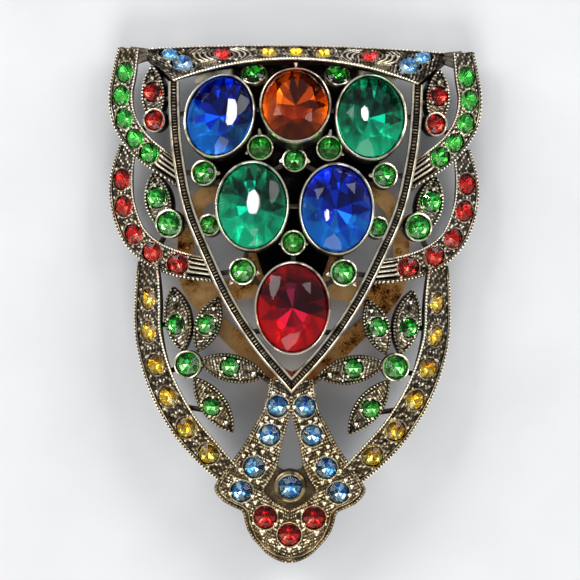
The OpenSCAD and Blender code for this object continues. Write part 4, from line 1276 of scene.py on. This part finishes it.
for name, (home, back, out, d) in SIDE_CUPS.items():
    both_sides(name, (np.array(home), tilted_axes(back, out)), d, "green_glass")
for name, (home, back, out, d) in MIDDLE_CUPS.items():
    setting = (np.array(home), tilted_axes(back, out), round_cut(d / 2))
    stone_piece(f"{name}_stone", [setting], "green_glass", [name])
for name, ((x, y), d) in FRAME_CUPS.items():
    both_sides(name, seat_on_dome(x, y, SEAT_RISE), d, "red_glass" if "red" in name else "green_glass")
for name, (_, _, _, (x, y), radius) in LEAVES.items():
    both_sides(name, seat_on_dome(x, y, -SINK), 2 * radius, "red_glass" if "red" in name else "green_glass")
# Levels of the painted facet light: the same glass is painted darker at the tip and in the fan's ring,
# a little darker in the top band's reds, and lighter in its blues and yellows
LOBE_PAINTED_LIGHT, FAN_PAINTED_LIGHT, TOP_RED_PAINTED_LIGHT, TOP_PAINTED_LIGHT = 0.35, 0.45, 0.5, 0.7
for name, (x, y) in LOBE_STONES.items():
    setting = (*seat_on_dome(x, y, -SINK), round_cut(LOBE_STONE_R))
    stone_piece(f"{name}_stone", [setting], "red_glass", [name], LOBE_PAINTED_LIGHT)
setting = (*fan_seat, round_cut(FAN_CUP_D / 2))
stone_piece("fan_bezel_blue_stone", [setting], "pale_blue_glass", ["fan_bezel_blue"], FAN_PAINTED_LIGHT)
print("single stones:", len(stone_pieces))

# %% Rows of stones
TOP_SLOTS = {"blues": "pale_blue_glass", "reds": "red_glass", "yellows": "yellow_glass"}
for name, rows in TOP_STONES.items():
    settings = [(*seat_on_top(share, f, lean), round_cut(radius)) for share, f, radius, lean in rows]
    settings += [(*flip(setting[:2]), setting[2]) for setting in settings]
    if name == "yellows":
        settings.append((*seat_on_top(0.0, TOP_CENTRE_F, rows[0][3]), round_cut(LEAF_STONE_R)))
    painted_light = TOP_RED_PAINTED_LIGHT if name == "reds" else TOP_PAINTED_LIGHT
    stone_piece(f"top_{name}_stones", settings, TOP_SLOTS[name], [f"top_{name}"], painted_light)
BAND_STONES = {
    "upper_wing_greens": ("upper_wing", "green_glass"),
    "lower_wing_reds": ("lower_wing", "red_glass"),
    "side_yellows": ("side_band", "yellow_glass"),
}


def band_settings(rows, stones):
    """The settings of a row of stones on the right side, and the same on the left."""
    seats = [seat_on_band(rows, i) for i in stones]
    cut = round_cut(BAND_STONE_R)
    return {"right": [(*seat, cut) for seat in seats], "left": [(*flip(seat), cut) for seat in seats]}


for name, (band, slot) in BAND_STONES.items():
    for side, settings in band_settings(*BANDS[band][:2]).items():
        stone_piece(f"{name}_{side}_stones", settings, slot, [f"{name}_{side}"])
fan_rows = band_settings(FAN_ARM, FAN_ARM_STONES)
stone_piece("fan_arm_blue_stones", fan_rows["right"] + fan_rows["left"], "pale_blue_glass", ["fan_blues"])
for obj in metal_pieces:
    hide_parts("shield_casting")
print("stone pieces:", len(stone_pieces), "metal pieces:", len(metal_pieces))

# %% [markdown]
# ## Finishes
# The casting is an old pale gold plating that is worn bright on every edge and nearly black in every
# recess. Real patina sits low and polish sits high, so the crest number drives the colour and the
# roughness. Three sizes of noise break it up: cloudy tarnish, small blotches and a cast grain.

# %% Node helpers
def fill(tree, node, inputs):
    """Sets a node's inputs to values, or joins them to sockets."""
    for key, value in inputs.items():
        if isinstance(value, bpy.types.NodeSocket):
            tree.links.new(value, node.inputs[key])
        else:
            node.inputs[key].default_value = value


def add(tree, kind, inputs=None, **settings):
    """A new node with its settings and its inputs."""
    node = tree.nodes.new(kind)
    for key, value in settings.items():
        setattr(node, key, value)
    fill(tree, node, inputs or {})
    return node


def ramp(tree, fac, stops):
    """A colour ramp through stops of place and colour."""
    node = add(tree, "ShaderNodeValToRGB", {"Fac": fac})
    elements = node.color_ramp.elements
    while len(elements) < len(stops):
        elements.new(0.5)
    for element, (place, colour) in zip(elements, stops):
        element.position = place
        element.color = (*colour, 1)
    return node.outputs["Color"]


def math_node(tree, operation, a, b=None, clamp=False):
    """One step of arithmetic on sockets or numbers."""
    inputs = {0: a} if b is None else {0: a, 1: b}
    return add(tree, "ShaderNodeMath", inputs, operation=operation, use_clamp=clamp).outputs[0]


def noise(tree, place, scale, detail):
    """Noise from 0 to 1 at a place in metres. The scale is the number of its blots in a metre."""
    inputs = {"Vector": place, "Scale": scale, "Detail": detail}
    return add(tree, "ShaderNodeTexNoise", inputs).outputs["Fac"]


def map_range(tree, value, settings, **kind):
    """A value mapped from one range to another."""
    return add(tree, "ShaderNodeMapRange", {"Value": value, **settings}, **kind).outputs["Result"]


def new_material(name):
    """An empty node material with its output and a Principled shader joined to it."""
    material = bpy.data.materials.new(name)
    material.use_nodes = True
    tree = material.node_tree
    tree.nodes.clear()
    output = add(tree, "ShaderNodeOutputMaterial")
    shader = add(tree, "ShaderNodeBsdfPrincipled")
    tree.links.new(shader.outputs["BSDF"], output.inputs["Surface"])
    return material, tree, shader


print("node helpers ready")


# %% The patina group
CLOUD_SCALE = 150.0


def patina_group():
    """The crest mottled by noise: worn = crest + mottle (2 blotch + grain - 1.5), from 0 to 1. The cast
    grain and a mask of large clouds come out too."""
    group = bpy.data.node_groups.new("patina", "ShaderNodeTree")
    for name, value in (("Crest", 0.5), ("Mottle", 0.3), ("Blotch Scale", 900.0), ("Grain Scale", 5200.0)):
        socket = group.interface.new_socket(name, in_out="INPUT", socket_type="NodeSocketFloat")
        socket.default_value = value
    for name in ("Worn", "Grain", "Cloud"):
        group.interface.new_socket(name, in_out="OUTPUT", socket_type="NodeSocketFloat")
    start = add(group, "NodeGroupInput").outputs
    place = add(group, "ShaderNodeTexCoord").outputs["Object"]
    blotch = noise(group, place, start["Blotch Scale"], 4.0)
    grain_noise = noise(group, place, start["Grain Scale"], 2.0)
    cloud = noise(group, place, CLOUD_SCALE, 3.0)
    twice = math_node(group, "MULTIPLY", start["Mottle"], 2.0)
    shift = math_node(group, "MULTIPLY", math_node(group, "SUBTRACT", blotch, 0.5), twice)
    worn = math_node(group, "ADD", start["Crest"], shift)
    fine = math_node(group, "MULTIPLY", math_node(group, "SUBTRACT", grain_noise, 0.5), start["Mottle"])
    worn = math_node(group, "ADD", worn, fine, clamp=True)
    mask = map_range(group, cloud, {"From Min": 0.42, "From Max": 0.62}, interpolation_type="SMOOTHSTEP")
    add(group, "NodeGroupOutput", {"Worn": worn, "Grain": grain_noise, "Cloud": mask})
    return group


patina = patina_group()
print("patina group outputs:", [item.name for item in patina.interface.items_tree if item.in_out == "OUTPUT"])

# %% [markdown]
# ## Antique metal
# Bright, warm silver on the crests, brown grey on the slopes and near black below. The plating turns
# golden towards the tip, where it was handled most, so the place along the clip shifts the colour.

# %% Antique metal
def use_patina(tree, inputs):
    """The outputs of the patina group, with its own inputs."""
    return add(tree, "ShaderNodeGroup", inputs, node_tree=patina).outputs


def metal_skin(tree, shader, marks, worn, rough, bump_size):
    """Plain metal whose roughness falls from rough[0] to rough[1] where it is worn, with a cast grain."""
    fall = map_range(tree, worn, {"To Min": rough[0], "To Max": rough[1]})
    bump = add(tree, "ShaderNodeBump", {"Height": marks["Grain"], "Strength": 0.4, "Distance": bump_size})
    fill(tree, shader, {"Roughness": fall, "Metallic": 1.0, "Normal": bump.outputs["Normal"]})


# Colours from the recesses to the crests, far from the tip and near it
COOL_TONES = [
    (0.0, (0.006, 0.005, 0.005)), (0.28, (0.07, 0.062, 0.05)), (0.55, (0.34, 0.30, 0.235)),
    (0.78, (1.0, 0.93, 0.76)),
]
WARM_TONES = [
    (0.0, (0.010, 0.007, 0.004)), (0.28, (0.09, 0.065, 0.034)), (0.55, (0.44, 0.31, 0.15)),
    (0.78, (1.0, 0.85, 0.56)),
]
# Where the plating starts to turn golden and where it is most golden, in metres along the clip
GOLD_RANGE = {"From Min": -0.004, "From Max": -0.022, "To Min": 0.15, "To Max": 0.75}


def antique_metal():
    """Worn plating whose colour follows the crest attribute."""
    material, tree, shader = new_material("antique_metal")
    crest = add(tree, "ShaderNodeAttribute", attribute_name="crest").outputs["Fac"]
    marks = use_patina(tree, {"Crest": crest, "Mottle": 0.3})
    cool, warm = ramp(tree, marks["Worn"], COOL_TONES), ramp(tree, marks["Worn"], WARM_TONES)
    place = add(tree, "ShaderNodeTexCoord").outputs["Object"]
    along = add(tree, "ShaderNodeSeparateXYZ", {"Vector": place}).outputs["Y"]
    low = map_range(tree, along, GOLD_RANGE)
    gold = math_node(tree, "ADD", low, math_node(tree, "MULTIPLY", marks["Cloud"], 0.35), clamp=True)
    colour = add(tree, "ShaderNodeMix", {"Factor": gold, "A": cool, "B": warm}, data_type="RGBA")
    tree.links.new(colour.outputs["Result"], shader.inputs["Base Color"])
    metal_skin(tree, shader, marks, marks["Worn"], (0.5, 0.22), 0.00004)
    return material


metal_finish = antique_metal()
for obj in metal_pieces:
    obj.data.materials.append(metal_finish)
print("metal pieces finished:", len(metal_pieces))

# %% [markdown]
# ## The lever, the pin and the hinge plate
# They keep their exact solids, because the lever turns. The lever and pin are brass with brown
# tarnish, and the plate is near black, with scattered spots of brass colour.

# %% Brass and blackened metal
BRASS_TONES = [
    (0.0, (0.006, 0.003, 0.002)), (0.3, (0.09, 0.030, 0.006)), (0.5, (0.80, 0.33, 0.07)),
    (0.75, (1.0, 0.58, 0.22)),
]
BLACK_TONES = [
    (0.0, (0.004, 0.004, 0.004)), (0.5, (0.012, 0.011, 0.010)), (0.8, (0.05, 0.042, 0.03)),
    (1.0, (0.25, 0.16, 0.07)),
]


def brass(name, tarnish, crest, tones=BRASS_TONES):
    """Brass or near black metal with an even crest, less the clouds of tarnish."""
    material, tree, shader = new_material(name)
    marks = use_patina(tree, {"Crest": crest, "Mottle": 0.9, "Blotch Scale": 500.0})
    clouds = math_node(tree, "MULTIPLY", marks["Cloud"], tarnish)
    worn = math_node(tree, "SUBTRACT", marks["Worn"], clouds, clamp=True)
    tree.links.new(ramp(tree, worn, tones), shader.inputs["Base Color"])
    metal_skin(tree, shader, marks, worn, (0.55, 0.28), 0.00005)
    return material


def refinish(node, material):
    """Gives a node of the frame one material in all its slots."""
    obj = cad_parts[node]
    obj.data.materials.clear()
    obj.data.materials.append(material)


refinish("lever", brass("lever_brass", 0.3, 0.85))
refinish("hinge_pin", brass("pin_brass", 0.1, 0.75))
refinish("clip_plate", brass("blackened_metal", 0.3, 0.3, BLACK_TONES))
print("nodes that keep their solids:", ["lever", "hinge_pin", "clip_plate"])

# %% [markdown]
# ## Glass and foil
# The stones are glass with a metal foil behind. Light enters through the clear crown, is reflected
# by the foiled pavilion, and comes out tinted. So the crown is real glass, and the pavilion is a
# coloured mirror seen from inside. The facet attribute gives each facet a painted shade, from dark to
# bright: painted light and shade that darkens the top and middle of a stone, with an uneven step from
# facet to facet for both an uneven foil and painted sparkle. Plain tinted glass would be simpler, but
# light that goes to and fro between the facets would turn it black, so a ray that meets the foil again
# gets its brightest colour, a painted light. From outside the foil has the same colours and is dull.

# %% Glass and foil
# Columns: tint of the glass, then the foil where its facet is painted dark, where it is even and where
# it is painted bright
GLASS = {
    "emerald_glass": [(0.45, 1.0, 0.88), (0.0, 0.03, 0.02), (0.0, 0.30, 0.19), (0.10, 0.95, 0.66)],
    "sapphire_glass": [(0.45, 0.78, 1.0), (0.0, 0.004, 0.08), (0.0, 0.05, 0.72), (0.08, 0.55, 1.0)],
    "amber_glass": [(1.0, 0.78, 0.36), (0.10, 0.014, 0.002), (0.95, 0.17, 0.008), (1.0, 0.38, 0.02)],
    "ruby_glass": [(1.0, 0.30, 0.36), (0.06, 0.010, 0.030), (0.30, 0.006, 0.035), (1.0, 0.04, 0.10)],
    "green_glass": [(0.75, 1.0, 0.72), (0.01, 0.24, 0.03), (0.12, 0.95, 0.13), (0.50, 1.0, 0.45)],
    "red_glass": [(1.0, 0.48, 0.42), (0.20, 0.004, 0.004), (0.95, 0.04, 0.03), (1.0, 0.42, 0.32)],
    "yellow_glass": [(1.0, 0.93, 0.50), (0.36, 0.14, 0.005), (1.0, 0.62, 0.04), (1.0, 0.90, 0.45)],
    "pale_blue_glass": [(0.80, 0.94, 1.0), (0.02, 0.10, 0.50), (0.13, 0.48, 1.0), (0.80, 0.95, 1.0)],
}
GLASS_IOR = 1.58
GLASS_CLOUD_SCALE = 420.0


def clear_glass(name, tint):
    """Polished glass with a little cloudiness in its tint."""
    material, tree, shader = new_material(name)
    place = add(tree, "ShaderNodeTexCoord").outputs["Object"]
    cloud = noise(tree, place, GLASS_CLOUD_SCALE, 2.0)
    colour = ramp(tree, cloud, [(0.3, [0.88 * c for c in tint]), (0.7, tint)])
    fill(tree, shader, {"Base Color": colour, "Roughness": 0.012, "Specular Tint": (0.45, 0.45, 0.45, 1),
                        "IOR": GLASS_IOR, "Transmission Weight": 1.0})
    return material


ROUGH_OUTSIDE, ROUGH_INSIDE = 0.6, 0.17


def foil_back(name, dark, even, shine):
    """A coloured mirror seen through the stone, a little rough from age, and dull from outside. A ray that
    comes through the glass meets the facet's painted shade. One that the foil has already reflected meets
    the brightest colour, a painted light, so each facet shows its own painted shade and not a product of
    many."""
    material, tree, shader = new_material(name)
    facet = add(tree, "ShaderNodeAttribute", attribute_name="facet").outputs["Fac"]
    first = ramp(tree, facet, [(0.1, dark), (0.5, even), (0.9, shine)])
    ray = add(tree, "ShaderNodeLightPath").outputs
    # Painted light: a ray that the foil has already reflected gets the brightest colour
    again = math_node(tree, "SUBTRACT", ray["Is Glossy Ray"], ray["Is Transmission Ray"], clamp=True)
    colour = add(tree, "ShaderNodeMix", {"Factor": again, "A": first, "B": (*shine, 1)}, data_type="RGBA")
    back = add(tree, "ShaderNodeNewGeometry").outputs["Backfacing"]
    smooth = math_node(tree, "MULTIPLY", back, ROUGH_OUTSIDE - ROUGH_INSIDE)
    rough = math_node(tree, "SUBTRACT", ROUGH_OUTSIDE, smooth)
    fill(tree, shader, {"Base Color": colour.outputs["Result"], "Roughness": rough, "Metallic": 1.0})
    return material


glass_finish = {slot: (clear_glass(slot, tint), foil_back(slot.replace("glass", "foil"), *foil))
                for slot, (tint, *foil) in GLASS.items()}
for obj, slot in stone_pieces:
    for material in glass_finish[slot]:
        obj.data.materials.append(material)
print("glass colours:", len(glass_finish))

# %% [markdown]
# ## Floor, light and camera
# A pale floor under three soft lights of nearly equal strength: one from the upper left, one from
# the upper right and one from in front. A weak even light fills the shadows. Relief needs light from
# the side, and a single light would leave half of every grain black. The camera looks straight
# down, as the photograph does.

# %% Floor and light
def floor_plane(size):
    """A flat square at height zero."""
    mesh = bpy.data.meshes.new("floor")
    corners = [(-size, -size, 0), (size, -size, 0), (size, size, 0), (-size, size, 0)]
    mesh.from_pydata(corners, [], [(0, 1, 2, 3)])
    obj = new_object("floor", mesh)
    material, tree, shader = new_material("pale_floor")
    place = add(tree, "ShaderNodeTexCoord").outputs["Object"]
    patches = noise(tree, place, 60.0, 5.0)
    colour = ramp(tree, patches, [(0.3, (0.80, 0.80, 0.80)), (0.7, (0.87, 0.87, 0.86))])
    fill(tree, shader, {"Base Color": colour, "Roughness": 0.8})
    mesh.materials.append(material)
    return obj


def softbox(name, place, target, size, power):
    """A square area light at a place, turned to face the target."""
    data = bpy.data.lights.new(name, "AREA")
    data.energy, data.size = power, size
    obj = new_object(name, data)
    away = np.array(place, float) - np.array(target, float)
    axis = unit(away)
    across = unit(np.cross([0, 1, 0], axis))
    obj.location = place
    obj.rotation_euler = Matrix(np.stack([across, np.cross(axis, across), axis], axis=1).tolist()).to_euler()
    return obj


floor_plane(0.6)
TARGET = (0, 0, 0.005)
# Columns: place and size in metres, power in watts
LIGHTS = {
    "left_light": [(-0.42, 0.30, 0.33), 0.32, 1.8],
    "right_light": [(0.42, 0.30, 0.33), 0.32, 1.6],
    "front_light": [(0.0, -0.46, 0.36), 0.34, 1.5],
}
for name, (place, size, power) in LIGHTS.items():
    softbox(name, place, TARGET, size, power)
world = bpy.data.worlds.new("studio")
world.use_nodes = True
sky = world.node_tree.nodes["Background"].inputs
sky["Color"].default_value = (0.9, 0.93, 1.0, 1)
sky["Strength"].default_value = 0.42
bpy.context.scene.world = world
bpy.context.scene.view_settings.view_transform = "Standard"

# %% Camera
# The place under the camera, the width that it sees at the focus height, and its turn in radians
VIEW_CENTRE = (-0.32, 1.57)
VIEW_WIDTH = 66.9
FOCUS_Z, CAMERA_HEIGHT = 6.0, 480.0
CAMERA_TURN = 0.014
SENSOR = 36
camera = bpy.data.cameras.new("camera")
camera.sensor_width = SENSOR
camera.lens = SENSOR * CAMERA_HEIGHT / VIEW_WIDTH
camera.clip_start, camera.clip_end = 0.01, 10
camera_object = new_object("camera", camera)
camera_object.location = (VIEW_CENTRE[0] * MM, VIEW_CENTRE[1] * MM, (FOCUS_Z + CAMERA_HEIGHT) * MM)
camera_object.rotation_euler = (0, 0, CAMERA_TURN)
bpy.context.scene.camera = camera_object
print("lens:", round(camera.lens, 1), "mm")

# %% [markdown]
# ## Glints
# Four of the large stones mirror a bright window in their tables. A small lamp stands where the
# table mirrors it into the camera, which is the sight line to the glint, reflected. A white patch
# painted on the stone would stay in place when the view moves, and this one wanders as it should.

# %% Glints
GLINT_DISTANCE = 400.0
OVAL_TOP = 1.3
# Columns: the stone, place of the glint on its table, size of the light across and along, power
GLINTS = [
    ("oval_blue_left", (1.9, 0.5), (3.2, 5.4), 0.0028),
    ("oval_green_left", (0.2, 0.3), (2.5, 5.0), 0.0017),
    ("oval_green_right", (-0.9, 0.0), (1.4, 3.2), 0.0007),
    ("oval_blue_right", (-1.2, -0.9), (0.9, 2.2), 0.0003),
]


def glint_light(name, at):
    """Where a lamp must stand to be mirrored in a stone's table: the sight line to the place, reflected."""
    home, back, out, turn, _ = OVALS[name]
    axes = tilted_axes(back, out, turn)
    spot = np.array(home) + at[0] * axes[0] + at[1] * axes[1] + OVAL_TOP * axes[2]
    sight = unit(spot - np.array([*VIEW_CENTRE, FOCUS_Z + CAMERA_HEIGHT]))
    return (spot + GLINT_DISTANCE * (sight - 2 * (sight @ axes[2]) * axes[2])) * MM


for name, at, size, power in GLINTS:
    lamp = softbox(name.replace("oval", "glint"), glint_light(name, at), TARGET, size[0] * MM, power)
    lamp.data.shape = "RECTANGLE" if "blue" in name else "ELLIPSE"
    lamp.data.size_y = size[1] * MM
print("glints:", len(GLINTS))

# %% [markdown]
# ## Triangle counts
# This cell counts the triangles of the new metal and names the largest piece.

# %% Triangle counts
triangles = {obj.name: len(obj.data.loops) - 2 * len(obj.data.polygons) for obj in metal_pieces}
print("triangles in the new metal:", sum(triangles.values()))
print("largest metal piece:", max(triangles, key=triangles.get), max(triangles.values()))
bpy.context.view_layer.update()
